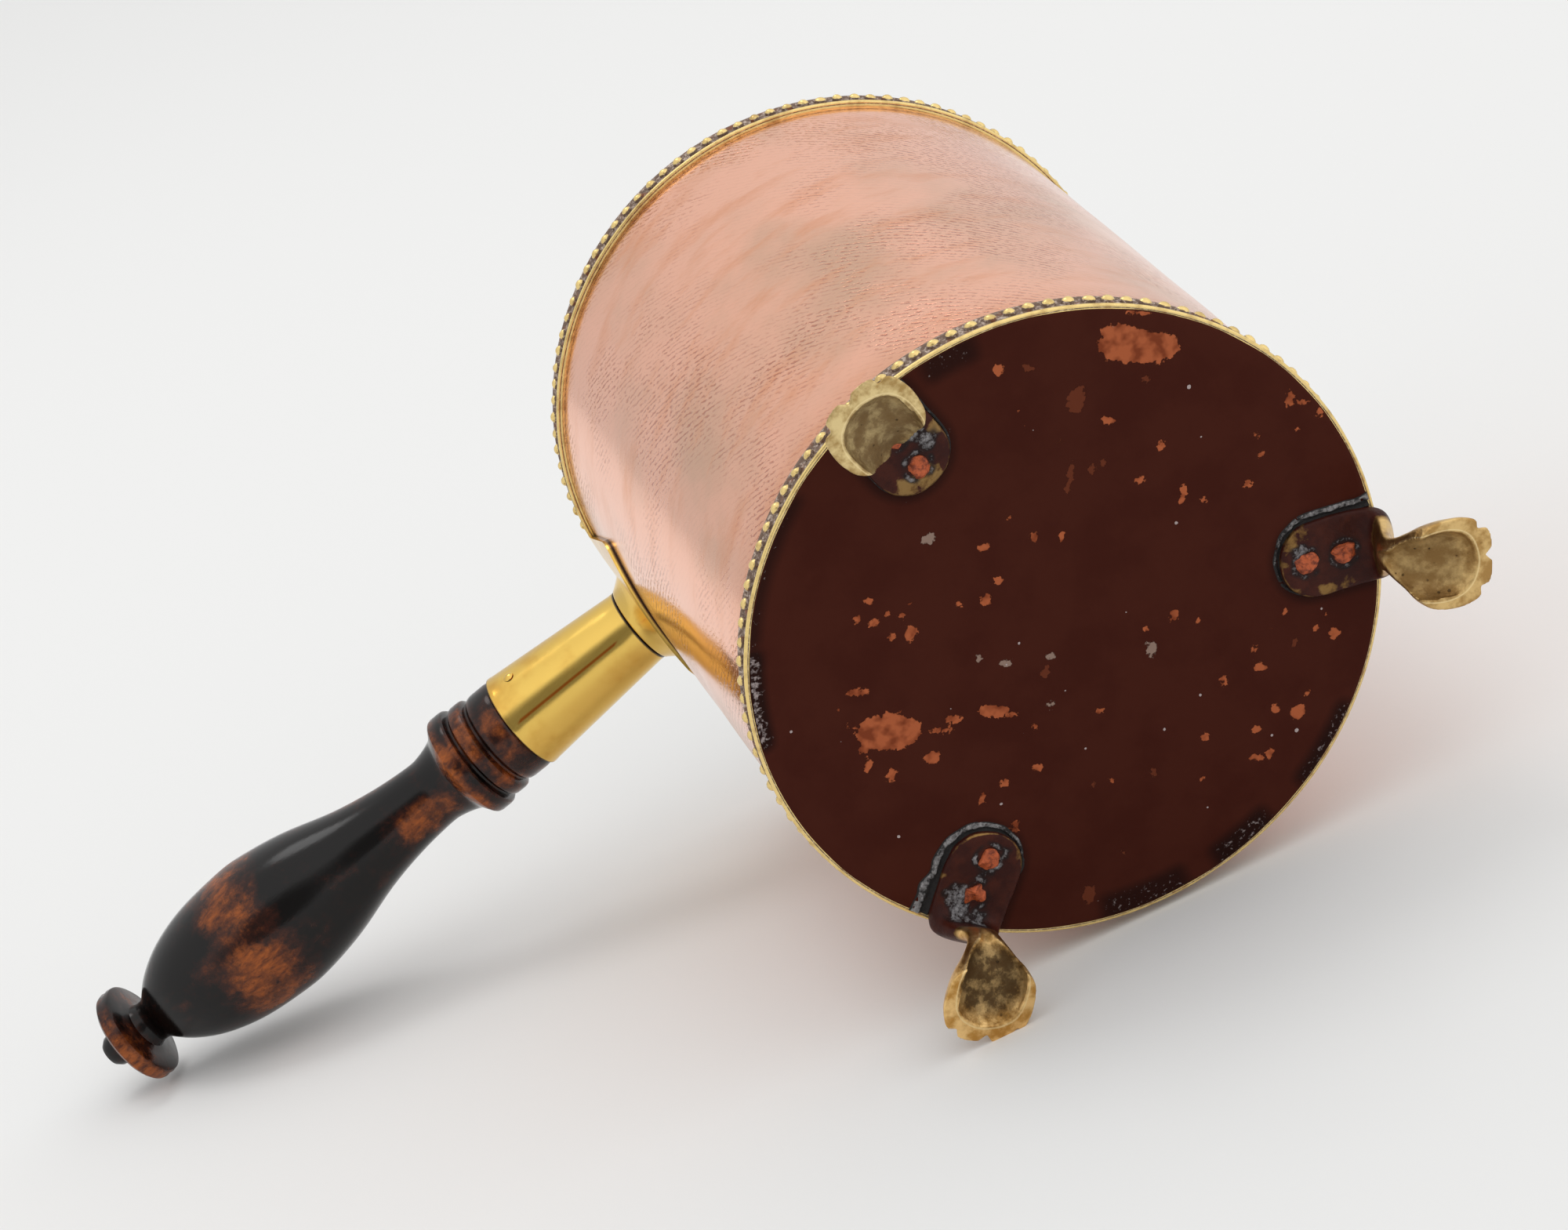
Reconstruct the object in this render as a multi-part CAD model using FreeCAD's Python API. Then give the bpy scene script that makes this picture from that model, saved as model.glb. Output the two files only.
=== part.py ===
"""Copper saucepan on three cast shell feet, with a turned wooden handle.

Row frame, in millimetres: +Z up along the pan's axis, +X towards the handle,
origin at the centre of the base plate's flat outer face. The pan stands on its feet,
so they reach below the origin. Nothing moves: the pieces are brazed, riveted or pinned.
"""
import FreeCAD, Part
import math
import os

from FreeCAD import Matrix, Placement, Rotation, Vector

# Pan body: copper wall, opening slightly towards the mouth between a straight collar
# under each border, with a flat base let into its lower edge.
MOUTH_RADIUS = 62.6
BASE_RADIUS = 60.5
PAN_HEIGHT = 148.0
WALL_THICKNESS = 1.2
BASE_THICKNESS = 1.5

# Brass border strips round the mouth and the base: a plain fillet and a row of beads.
STRIP_THICKNESS = 0.6
STRIP_HEIGHT = 6.4
FILLET_RADIUS = 0.75
FILLET_INSET = 1.2
FILLET_SINK = 0.35
BEAD_LENGTH = 2.9
BEAD_HEIGHT = 2.4
BEAD_RISE = 1.5
BEAD_PITCH = 3.7
BEAD_INSET = 4.7
BEAD_SIDES = 8

# Feet: a riveted tongue under the base, a curved neck and a hollow scallop-shell pad.
# The castings are set by hand, so each pad sits a little twisted and shifted sideways.
FOOT_ANGLES = {"foot_side": 90.0, "foot_far": 210.0, "foot_near": 330.0}
PAD_TWISTS = {"foot_side": 0.0, "foot_far": 6.0, "foot_near": -7.5}
PAD_SHIFTS = {"foot_side": -0.8, "foot_far": -1.0, "foot_near": -1.1}
FOOT_HEIGHT = 21.0
TONGUE_WIDTH = 15.2
TONGUE_LENGTH = 19.2
TONGUE_THICKNESS = 1.8
RIM_SETBACK = 0.3
KNEE_REACH = 3.1
KNEE_DROP = 2.8
KNEE_WIDTH = 13.4
KNEE_THICKNESS = 4.2
NECK_WIDTH = 6.8
NECK_THICKNESS = 2.9
NECK_SETBACK = 0.4
PAD_WIDTH = 17.2
PAD_LENGTH = 16.4
PAD_DOME = 7.6
PAD_HOLLOW = 4.4
PAD_RIM = 2.5
PAD_LOBES = 4
LOBE_DEPTH = 0.9
LOBE_SPREAD = 66.0
DOME_MARGIN = 1.4
PAD_OVERHANG = 14.4

# Copper rivets through tongue and base, two to a foot.
RIVET_SHANK_RADIUS = 1.6
RIVET_HEAD_RADIUS = 2.7
RIVET_HEAD_HEIGHT = 1.0
RIVET_SPACING = 7.5
RIVET_EDGE = 5.3

# Handle plate: a pointed brass shield brazed on the wall, with a boss for the ferrule.
PLATE_THICKNESS = 1.2
PLATE_TOP_WIDTH = 31.0
PLATE_WIDTH = 49.0
PLATE_SHOULDER_DROP = 33.0
PLATE_HEIGHT = 54.0
PLATE_CORNER_RADIUS = 3.0
FLANK_HOLLOW = 1.2
BOSS_FLARE = 1.9
BOSS_STEP = 0.2
BOSS_ROOT = 2.0

# Handle axis, which starts on the wall and climbs away from it towards the mouth.
HANDLE_DROP = 22.44
HANDLE_TILT = 9.1
FERRULE_STANDOFF = 3.65

# Brass ferrule cone and the pin that holds it on the grip's tenon.
FERRULE_LENGTH = 34.0
FERRULE_SMALL_RADIUS = 8.7
FERRULE_LARGE_RADIUS = 11.4
FERRULE_THICKNESS = 1.0
TENON_CLEARANCE = 0.05
TENON_GAP = 3.0
PIN_SETBACK = 5.6
PIN_RADIUS = 0.9
PIN_HEAD_RADIUS = 1.2
PIN_HEAD_HEIGHT = 0.5
PIN_LENGTH = 16.0
PIN_TURN = -9.5
CUT_MARGIN = 1.0

# Turned wooden grip: three rings, a waist, the swelling, and a disc with a nub.
RING_RADII = (11.1, 11.7, 12.5)
RING_WIDTHS = (6.6, 3.6, 4.2)
GROOVE_DEPTH = 0.9
GROOVE_WIDTH = 1.0
WAIST_RADIUS = 7.75
SWELL_RADIUS = 16.05
SWELL_LENGTH = 89.6
END_NECK_RADIUS = 5.2
END_NECK_LENGTH = 4.0
DISC_RADIUS = 11.5
DISC_THICKNESS = 4.4
NUB_RADIUS = 4.0
NUB_LENGTH = 6.4

OUT = "parts"
SEWING_TOLERANCE = 1e-5
UP = Vector(0, 0, 1)
COLLAR = STRIP_HEIGHT
FERRULE_START = FERRULE_STANDOFF
FERRULE_END = FERRULE_START + FERRULE_LENGTH


def wall_radius(height):
    """Outer radius of the wall at a height between its collars."""
    share = (height - COLLAR) / (PAN_HEIGHT - 2 * COLLAR)
    return BASE_RADIUS + (MOUTH_RADIUS - BASE_RADIUS) * share


def handle_placement():
    """The handle's own frame: its X runs outwards from the wall, along the grip."""
    height = PAN_HEIGHT - HANDLE_DROP
    return Placement(Vector(wall_radius(height), 0, height), Rotation(Vector(0, 1, 0), -HANDLE_TILT))


def place_on_handle(shape):
    """Shape carried from the handle's own frame to its place on the pan."""
    placed = shape.copy()
    placed.Placement = handle_placement().multiply(shape.Placement)
    return placed


def turn_about_z(shape, degrees):
    turned = shape.copy()
    turned.rotate(Vector(0, 0, 0), UP, degrees)
    return turned


def wall_profile(offset):
    """Points up the wall's outer face, moved outwards by an offset."""
    return [
        Vector(BASE_RADIUS + offset, 0, 0),
        Vector(BASE_RADIUS + offset, 0, COLLAR),
        Vector(MOUTH_RADIUS + offset, 0, PAN_HEIGHT - COLLAR),
        Vector(MOUTH_RADIUS + offset, 0, PAN_HEIGHT),
    ]


def wall_skin(inner, outer):
    """Solid of revolution between two offsets of the wall's outer face."""
    points = wall_profile(inner) + wall_profile(outer)[::-1]
    return polygon_face(points).revolve(Vector(0, 0, 0), UP, 360)


def wall_core():
    """Everything within the wall's outer face."""
    points = [Vector(0, 0, 0), *wall_profile(0.0), Vector(0, 0, PAN_HEIGHT)]
    return polygon_face(points).revolve(Vector(0, 0, 0), UP, 360)


def polygon_face(points):
    return Part.Face(Part.makePolygon([*points, points[0]]))


def ellipsoid(centre, half_x, half_y, half_z):
    """Unit sphere stretched along each axis."""
    stretch = Matrix()
    stretch.scale(half_x, half_y, half_z)
    body = Part.makeSphere(1.0).transformGeometry(stretch)
    body.translate(centre)
    return body


def domed_peg(radius, length, head_radius, head_height):
    """Round peg along +Z whose shank ends at the origin, under a low domed head."""
    ball = (head_radius ** 2 + head_height ** 2) / (2 * head_height)
    half_turn = math.asin(head_radius / ball) / 2
    crown = Vector(ball * math.sin(half_turn), 0, head_height - ball + ball * math.cos(half_turn))
    edge = Vector(head_radius, 0, 0)
    top = Vector(0, 0, head_height)
    foot = Vector(0, 0, -length)
    side = Vector(radius, 0, -length)
    corner = Vector(radius, 0, 0)
    lines = [(top, foot), (foot, side), (side, corner), (corner, edge)]
    edges = [Part.makeLine(first, last) for first, last in lines]
    edges.append(Part.Arc(edge, crown, top).toShape())
    return Part.Face(Part.Wire(edges)).revolve(Vector(0, 0, 0), UP, 360)


def make_body_wall():
    return wall_skin(-WALL_THICKNESS, 0.0)


def rivet_places():
    """Plan position of every rivet, as (foot name, radius, angle)."""
    inner = tongue_inner_end() + RIVET_EDGE
    for name, angle in FOOT_ANGLES.items():
        yield name, inner, angle
        yield name, inner + RIVET_SPACING, angle


def rivet_hole(radius, angle, low, high):
    hole = Part.makeCylinder(RIVET_SHANK_RADIUS, high - low, Vector(radius, 0, low))
    return turn_about_z(hole, angle)


def make_base_plate():
    plate = Part.makeCylinder(BASE_RADIUS - WALL_THICKNESS, BASE_THICKNESS)
    for _, radius, angle in rivet_places():
        plate = plate.cut(rivet_hole(radius, angle, 0, BASE_THICKNESS))
    return plate


def bead_ring(face, reach, rise):
    """Corners of one level of a faceted bead: an oval on a flat facing +X."""
    ring = []
    for index in range(BEAD_SIDES):
        turn = 2 * math.pi * (index + 0.5) / BEAD_SIDES
        along = BEAD_LENGTH / 2 * reach * math.cos(turn)
        height = BEAD_HEIGHT / 2 * reach * math.sin(turn)
        ring.append(Vector(face + rise, along, height))
    return ring


def make_bead(face):
    """One oval bead with a faceted dome, rooted in the strip's thickness."""
    rings = [
        bead_ring(face, 1.0, -STRIP_THICKNESS / 2),
        bead_ring(face, 1.0, BEAD_RISE * 0.12),
        bead_ring(face, 0.82, BEAD_RISE * 0.65),
        bead_ring(face, 0.42, BEAD_RISE),
    ]
    faces = [polygon_face(rings[0]), polygon_face(rings[-1])]
    for lower, upper in zip(rings, rings[1:]):
        for index in range(BEAD_SIDES):
            after = (index + 1) % BEAD_SIDES
            faces.append(polygon_face([lower[index], lower[after], upper[after], upper[index]]))
    bead = Part.Solid(Part.makeShell(faces))
    if bead.Volume < 0:
        bead.reverse()
    return bead


def lies_on_radial_plane(face, degrees):
    """Whether a face lies in the plane through the Z axis at this angle."""
    angle = math.radians(degrees)
    normal = Vector(-math.sin(angle), math.cos(angle), 0)
    return all(abs(vertex.Point.dot(normal)) < 1e-6 for vertex in face.Vertexes)


def strip_sector(seat, low, step):
    """The stretch of strip that carries one bead, flat on its faces, centred on +X."""
    face = seat + STRIP_THICKNESS
    reach = face + BEAD_RISE
    half = math.tan(math.radians(step / 2)) * reach
    band = Part.makeBox(STRIP_THICKNESS, 2 * half, STRIP_HEIGHT, Vector(seat, -half, low))
    fillet_base = Vector(face - FILLET_SINK, -half, low + FILLET_INSET)
    fillet = Part.makeCylinder(FILLET_RADIUS, 2 * half, fillet_base, Vector(0, 1, 0))
    outside = Part.makeBox(reach, 2 * half, STRIP_HEIGHT, Vector(seat, -half, low))
    wedge = polygon_face([Vector(0, 0, low), Vector(reach, half, low), Vector(reach, -half, low)])
    wedge = wedge.extrude(Vector(0, 0, STRIP_HEIGHT))
    bead = make_bead(face)
    bead.translate(Vector(0, 0, low + BEAD_INSET))
    strip = band.fuse(fillet.common(outside)).common(wedge)
    return strip.fuse(bead).removeSplitter()


def sew_sectors(sector, step, count, closed):
    """One solid from copies of a sector side by side, with no walls between them."""
    first_walls = [face for face in sector.Faces if lies_on_radial_plane(face, -step / 2)]
    last_walls = [face for face in sector.Faces if lies_on_radial_plane(face, step / 2)]
    walls = [face.hashCode() for face in first_walls + last_walls]
    skin = [face for face in sector.Faces if face.hashCode() not in walls]
    faces = [turn_about_z(face, step * index) for index in range(count) for face in skin]
    if not closed:
        faces += first_walls
        faces += [turn_about_z(face, step * (count - 1)) for face in last_walls]
    sewn = Part.makeCompound(faces)
    sewn.sewShape(SEWING_TOLERANCE)
    return Part.Solid(sewn.Shells[0])


def border_strip(seat, low, gap_degrees):
    """Strip wrapped round the wall, with its fillet and beads.

    The gap is centred on the handle, and the beads share out the rest evenly.
    """
    sweep = 360.0 - gap_degrees
    count = round(math.radians(sweep) * (seat + STRIP_THICKNESS) / BEAD_PITCH)
    step = sweep / count
    strip = sew_sectors(strip_sector(seat, low, step), step, count, gap_degrees == 0)
    return turn_about_z(strip, (gap_degrees + step) / 2)


def plate_gap_degrees():
    """Angle of the mouth border's gap, which the handle plate fills."""
    return 2 * math.degrees(math.asin(PLATE_TOP_WIDTH / 2 / MOUTH_RADIUS))


def make_mouth_border():
    return border_strip(MOUTH_RADIUS, PAN_HEIGHT - STRIP_HEIGHT, plate_gap_degrees())


def make_base_border():
    return border_strip(BASE_RADIUS, 0, 0.0)


def foot_root():
    """Distance from the pan's axis to the outer end of a foot's tongue."""
    return BASE_RADIUS - RIM_SETBACK


def tongue_inner_end():
    return foot_root() - TONGUE_LENGTH


def pad_tip():
    return BASE_RADIUS + PAD_OVERHANG


def pad_middle():
    return pad_tip() - PAD_LENGTH / 2


def make_tongue():
    """Flat tongue with a round inner end, lying under the base."""
    half = TONGUE_WIDTH / 2
    inner = tongue_inner_end()
    centre = inner + half
    low = -TONGUE_THICKNESS
    arc = Part.Arc(Vector(centre, half, low), Vector(inner, 0, low), Vector(centre, -half, low))
    edges = [
        arc.toShape(),
        Part.makeLine(Vector(centre, -half, low), Vector(foot_root(), -half, low)),
        Part.makeLine(Vector(foot_root(), -half, low), Vector(foot_root(), half, low)),
        Part.makeLine(Vector(foot_root(), half, low), Vector(centre, half, low)),
    ]
    return Part.Face(Part.Wire(edges)).extrude(Vector(0, 0, TONGUE_THICKNESS))


def neck_section(out, down, lean_degrees, width, thickness):
    """Oval section of the neck; lean is how far its normal leaves the vertical."""
    lean = math.radians(lean_degrees)
    normal = Vector(math.sin(lean), 0, -math.cos(lean))
    oval = Part.Ellipse()
    oval.MajorRadius = width / 2
    oval.MinorRadius = thickness / 2
    wire = Part.Wire(oval.toShape())
    wire.Placement = Placement(Vector(out, 0, -down), Rotation(Vector(0, 1, 0), normal, normal, "ZXY"))
    return wire


def set_pad(name, shape):
    """Shape twisted about the pad's middle and shifted sideways, as this foot is set."""
    placed = shape.copy()
    placed.rotate(Vector(pad_middle(), 0, 0), UP, PAD_TWISTS[name])
    placed.translate(Vector(0, PAD_SHIFTS[name], 0))
    return placed


def make_neck(name):
    """Cabriole neck: out over a knee under the rim, in to a waist, then out into the pad."""
    root = foot_root() - NECK_THICKNESS / 2
    knee = BASE_RADIUS + KNEE_REACH - KNEE_THICKNESS / 2
    waist = root - NECK_SETBACK
    bend = (waist + pad_middle()) / 2
    drop = FOOT_HEIGHT - PAD_DOME * 0.55
    fixed = [
        neck_section(root, TONGUE_THICKNESS / 2, 0, TONGUE_WIDTH * 0.84, NECK_THICKNESS),
        neck_section(knee, KNEE_DROP, 0, KNEE_WIDTH, KNEE_THICKNESS),
    ]
    turned = [
        neck_section(root, drop * 0.34, 0, NECK_WIDTH * 1.25, NECK_THICKNESS * 1.1),
        neck_section(waist, drop * 0.55, 2, NECK_WIDTH, NECK_THICKNESS),
        neck_section(waist * 0.93 + bend * 0.07, drop * 0.72, 22, NECK_WIDTH, NECK_THICKNESS),
        neck_section(waist * 0.12 + bend * 0.88, drop * 0.9, 48, NECK_WIDTH * 1.45, NECK_THICKNESS * 1.15),
        neck_section(pad_middle() * 0.88 + bend * 0.12, drop, 74, NECK_WIDTH * 1.7, NECK_THICKNESS * 1.25),
    ]
    return Part.makeLoft(fixed + [set_pad(name, section) for section in turned], True)


def scallop_outline(low):
    """Plan outline of the shell: straight flanks and a fan of lobes at the tip."""
    tip = pad_tip()
    half = PAD_WIDTH / 2
    heel = tip - PAD_LENGTH
    corner = Vector(tip - PAD_LENGTH * 0.62, half, low)
    fan_centre = tip - half - LOBE_DEPTH * 0.5
    fan_radius = half
    spread = math.radians(LOBE_SPREAD)
    notches = []
    for index in range(PAD_LOBES + 1):
        angle = spread * (1 - 2 * index / PAD_LOBES)
        notches.append(Vector(fan_centre + fan_radius * math.cos(angle), fan_radius * math.sin(angle), low))
    edges = []
    for first, last in zip(notches, notches[1:]):
        middle = (first + last) * 0.5
        outward = (middle - Vector(fan_centre, 0, low)).normalize()
        sagitta = (fan_radius - (middle - Vector(fan_centre, 0, low)).Length) + LOBE_DEPTH * 0.6
        edges.append(Part.Arc(first, middle + outward * sagitta, last).toShape())
    mirror_corner = Vector(corner.x, -corner.y, low)
    heel_half = NECK_WIDTH * 0.62
    heel_corners = [Vector(heel, -heel_half, low), Vector(heel, heel_half, low)]
    path = [notches[-1], mirror_corner, *heel_corners, corner, notches[0]]
    for first, last in zip(path, path[1:]):
        edges.append(Part.makeLine(first, last))
    return Part.Face(Part.Wire(edges))


def make_pad():
    """Domed shell cut to the scalloped outline, solid until its hollow is cut."""
    low = -FOOT_HEIGHT
    centre = Vector(pad_middle(), 0, low)
    dome = ellipsoid(centre, PAD_LENGTH / 2 + DOME_MARGIN, PAD_WIDTH / 2 + DOME_MARGIN, PAD_DOME)
    return dome.common(scallop_outline(low).extrude(Vector(0, 0, PAD_DOME + CUT_MARGIN)))


def pad_hollow():
    """Oval hollow under the shell, drawn out towards the neck."""
    low = -FOOT_HEIGHT
    middle = pad_middle() - NECK_SETBACK
    bowl = ellipsoid(Vector(middle, 0, low), PAD_LENGTH / 2 - PAD_RIM, PAD_WIDTH / 2 - PAD_RIM, PAD_HOLLOW)
    half = NECK_WIDTH * 0.3
    reach = PAD_LENGTH * 0.5
    channel = ellipsoid(Vector(middle - reach * 0.45, 0, low), reach, half, PAD_HOLLOW * 1.05)
    return bowl.fuse(channel)


def make_foot(name, angle):
    pad = set_pad(name, make_pad())
    foot = make_tongue().fuse([make_neck(name), pad]).cut(set_pad(name, pad_hollow()))
    foot = turn_about_z(foot, angle)
    for owner, radius, rivet_angle in rivet_places():
        if owner == name:
            foot = foot.cut(rivet_hole(radius, rivet_angle, -TONGUE_THICKNESS, 0))
    return foot


def make_foot_rivets():
    """Six separate rivets, headed below the tongues and inside the pan."""
    grip = TONGUE_THICKNESS + BASE_THICKNESS
    rivets = []
    for _, radius, angle in rivet_places():
        inner = domed_peg(RIVET_SHANK_RADIUS, grip, RIVET_HEAD_RADIUS, RIVET_HEAD_HEIGHT)
        inner.translate(Vector(radius, 0, BASE_THICKNESS))
        outer = domed_peg(RIVET_SHANK_RADIUS, grip, RIVET_HEAD_RADIUS, RIVET_HEAD_HEIGHT)
        outer.rotate(Vector(0, 0, 0), Vector(1, 0, 0), 180)
        outer.translate(Vector(radius, 0, -TONGUE_THICKNESS))
        rivets.append(turn_about_z(inner.fuse(outer), angle))
    return Part.makeCompound(rivets)


def shield_outline():
    """Half-symmetric shield: straight flanks, rounded shoulders and a point below."""
    top = PAN_HEIGHT
    shoulder = top - PLATE_SHOULDER_DROP
    neck = top - STRIP_HEIGHT
    tip = Vector(0, 0, top - PLATE_HEIGHT)
    half_top = PLATE_TOP_WIDTH / 2
    half = PLATE_WIDTH / 2
    corner = PLATE_CORNER_RADIUS
    left = [
        Vector(0, half_top, top),
        Vector(0, half_top, neck),
        Vector(0, half - 0.3 * corner, shoulder + corner),
    ]
    bulge = Vector(0, half, shoulder)
    turn = Vector(0, half - 0.8 * corner, shoulder - corner)
    hollow = (turn + tip) * 0.5 + Vector(0, -FLANK_HOLLOW, FLANK_HOLLOW)
    edges = [Part.makeLine(left[0], left[1]), Part.makeLine(left[1], left[2])]
    edges.append(Part.Arc(left[2], bulge, turn).toShape())
    edges.append(Part.Arc(turn, hollow, tip).toShape())
    mirrored = Part.Wire(edges).mirror(Vector(0, 0, 0), Vector(0, 1, 0))
    top_edge = Part.makeLine(Vector(0, -half_top, top), Vector(0, half_top, top))
    ordered = Part.sortEdges([*edges, *mirrored.Edges, top_edge])[0]
    return Part.Face(Part.Wire(ordered))


def make_handle_plate():
    """Curved shield on the wall with the flared boss that carries the ferrule."""
    outer = max(BASE_RADIUS, MOUTH_RADIUS) + PLATE_THICKNESS
    shell = wall_skin(0.0, PLATE_THICKNESS)
    shield = shell.common(shield_outline().extrude(Vector(outer + CUT_MARGIN, 0, 0)))
    small = FERRULE_SMALL_RADIUS + BOSS_STEP
    flare = FERRULE_SMALL_RADIUS + BOSS_FLARE
    along = Vector(1, 0, 0)
    cone = Part.makeCone(flare, small, FERRULE_START + BOSS_ROOT, Vector(-BOSS_ROOT, 0, 0), along)
    boss = place_on_handle(cone).cut(wall_core())
    return shield.fuse(boss)


def ferrule_radius(along):
    """Outer radius of the ferrule at a distance along the handle axis."""
    share = (along - FERRULE_START) / FERRULE_LENGTH
    return FERRULE_SMALL_RADIUS + share * (FERRULE_LARGE_RADIUS - FERRULE_SMALL_RADIUS)


def pin_along():
    return FERRULE_END - PIN_SETBACK


def pin_hole(radius, depth):
    """Radial hole for the pin, in the handle's own frame, from outside inwards."""
    surface = ferrule_radius(pin_along())
    start = Vector(pin_along(), surface + CUT_MARGIN - depth, 0)
    hole = Part.makeCylinder(radius, depth, start, Vector(0, 1, 0))
    hole.rotate(Vector(0, 0, 0), Vector(1, 0, 0), PIN_TURN)
    return hole


def make_ferrule():
    small = FERRULE_SMALL_RADIUS
    large = FERRULE_LARGE_RADIUS
    along = Vector(1, 0, 0)
    start = Vector(FERRULE_START, 0, 0)
    outer = Part.makeCone(small, large, FERRULE_LENGTH, start, along)
    inner = Part.makeCone(small - FERRULE_THICKNESS, large - FERRULE_THICKNESS, FERRULE_LENGTH, start, along)
    cone = outer.cut(inner).cut(pin_hole(PIN_RADIUS, FERRULE_THICKNESS + 2 * CUT_MARGIN))
    return place_on_handle(cone)


def make_ferrule_pin():
    """Round-headed pin driven through the ferrule's side into the tenon."""
    pin = domed_peg(PIN_RADIUS, PIN_LENGTH, PIN_HEAD_RADIUS, PIN_HEAD_HEIGHT)
    pin.rotate(Vector(0, 0, 0), Vector(1, 0, 0), -90)
    seat = ferrule_radius(pin_along() + PIN_HEAD_RADIUS)
    pin.translate(Vector(pin_along(), seat, 0))
    pin.rotate(Vector(0, 0, 0), Vector(1, 0, 0), PIN_TURN)
    return place_on_handle(pin)


def profile_point(along, radius):
    return Vector(along, 0, radius)


def ring_edges(start):
    """Three rounded rings with grooves between them; returns edges and the end."""
    edges = []
    along = start
    root = RING_RADII[0] - GROOVE_DEPTH
    for index, (radius, width) in enumerate(zip(RING_RADII, RING_WIDTHS)):
        crown = width * 0.22
        low = radius - GROOVE_DEPTH * 0.55
        first = profile_point(along, low)
        last = profile_point(along + width, low)
        left = profile_point(along + crown, radius)
        right = profile_point(along + width - crown, radius)
        left_mid = profile_point(along + crown * 0.35, low + (radius - low) * 0.72)
        right_mid = profile_point(along + width - crown * 0.35, low + (radius - low) * 0.72)
        edges.append(Part.Arc(first, left_mid, left).toShape())
        edges.append(Part.makeLine(left, right))
        edges.append(Part.Arc(right, right_mid, last).toShape())
        along += width
        if index < len(RING_RADII) - 1:
            next_low = RING_RADII[index + 1] - GROOVE_DEPTH * 0.55
            floor = profile_point(along + GROOVE_WIDTH / 2, root + index * 0.3)
            edges.append(Part.Arc(last, floor, profile_point(along + GROOVE_WIDTH, next_low)).toShape())
            along += GROOVE_WIDTH
    return edges, along


def swell_edges(start):
    """The waist and the long swelling, as one smooth curve."""
    gain = SWELL_RADIUS - WAIST_RADIUS
    shares = [
        (0.0, WAIST_RADIUS + 0.3 * gain),
        (0.025, WAIST_RADIUS + 0.08 * gain),
        (0.09, WAIST_RADIUS),
        (0.2, WAIST_RADIUS + 0.08 * gain),
        (0.32, WAIST_RADIUS + 0.33 * gain),
        (0.46, WAIST_RADIUS + 0.76 * gain),
        (0.58, WAIST_RADIUS + 0.98 * gain),
        (0.66, SWELL_RADIUS),
        (0.78, WAIST_RADIUS + 0.89 * gain),
        (0.88, WAIST_RADIUS + 0.6 * gain),
        (0.955, WAIST_RADIUS + 0.15 * gain),
        (1.0, END_NECK_RADIUS),
    ]
    points = [profile_point(start + share * SWELL_LENGTH, radius) for share, radius in shares]
    curve = Part.BSplineCurve()
    curve.interpolate(points)
    return [curve.toShape()], start + SWELL_LENGTH


def end_edges(start):
    """Short neck, rounded disc with a groove round its rim, and the nub."""
    disc = start + END_NECK_LENGTH
    back = disc + DISC_THICKNESS
    round_off = DISC_THICKNESS * 0.2
    lip = DISC_RADIUS - round_off
    root = END_NECK_RADIUS + 0.8
    waist = profile_point(start + END_NECK_LENGTH * 0.55, END_NECK_RADIUS * 0.97)
    front_mid = profile_point(disc + round_off * 0.3, DISC_RADIUS - round_off * 0.3)
    groove = profile_point(disc + DISC_THICKNESS / 2, DISC_RADIUS - 0.5)
    back_mid = profile_point(back - round_off * 0.3, DISC_RADIUS - round_off * 0.3)
    tip = back + NUB_LENGTH
    shoulder = tip - NUB_RADIUS
    half_turn = math.sqrt(0.5) * NUB_RADIUS
    nub_mid = profile_point(shoulder + half_turn, half_turn)
    return [
        Part.Arc(profile_point(start, END_NECK_RADIUS), waist, profile_point(disc, root)).toShape(),
        Part.makeLine(profile_point(disc, root), profile_point(disc, lip)),
        Part.Arc(profile_point(disc, lip), front_mid, profile_point(disc + round_off, DISC_RADIUS)).toShape(),
        Part.Arc(
            profile_point(disc + round_off, DISC_RADIUS), groove, profile_point(back - round_off, DISC_RADIUS)
        ).toShape(),
        Part.Arc(profile_point(back - round_off, DISC_RADIUS), back_mid, profile_point(back, lip)).toShape(),
        Part.makeLine(profile_point(back, lip), profile_point(back, NUB_RADIUS)),
        Part.makeLine(profile_point(back, NUB_RADIUS), profile_point(shoulder, NUB_RADIUS)),
        Part.Arc(profile_point(shoulder, NUB_RADIUS), nub_mid, profile_point(tip, 0)).toShape(),
    ]


def make_handle_grip():
    """Turned grip whose tapered tenon fills the ferrule."""
    inset = FERRULE_THICKNESS + TENON_CLEARANCE
    tenon = FERRULE_START + TENON_GAP
    tenon_start = ferrule_radius(tenon) - inset
    tenon_end = ferrule_radius(FERRULE_END) - inset
    rings, ring_end = ring_edges(FERRULE_END)
    first_ring = RING_RADII[0] - GROOVE_DEPTH * 0.55
    last_ring = RING_RADII[-1] - GROOVE_DEPTH * 0.55
    swell, swell_end = swell_edges(ring_end)
    swell_start = swell[0].Vertexes[0].Point.z
    end = end_edges(swell_end)
    tip = swell_end + END_NECK_LENGTH + DISC_THICKNESS + NUB_LENGTH
    edges = [
        Part.makeLine(profile_point(tenon, 0), profile_point(tenon, tenon_start)),
        Part.makeLine(profile_point(tenon, tenon_start), profile_point(FERRULE_END, tenon_end)),
        Part.makeLine(profile_point(FERRULE_END, tenon_end), profile_point(FERRULE_END, first_ring)),
        *rings,
        Part.makeLine(profile_point(ring_end, last_ring), profile_point(ring_end, swell_start)),
        *swell,
        *end,
        Part.makeLine(profile_point(tip, 0), profile_point(tenon, 0)),
    ]
    grip = Part.Face(Part.Wire(edges)).revolve(Vector(0, 0, 0), Vector(1, 0, 0), 360)
    return place_on_handle(grip.cut(pin_hole(PIN_RADIUS, PIN_LENGTH + CUT_MARGIN)))


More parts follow.
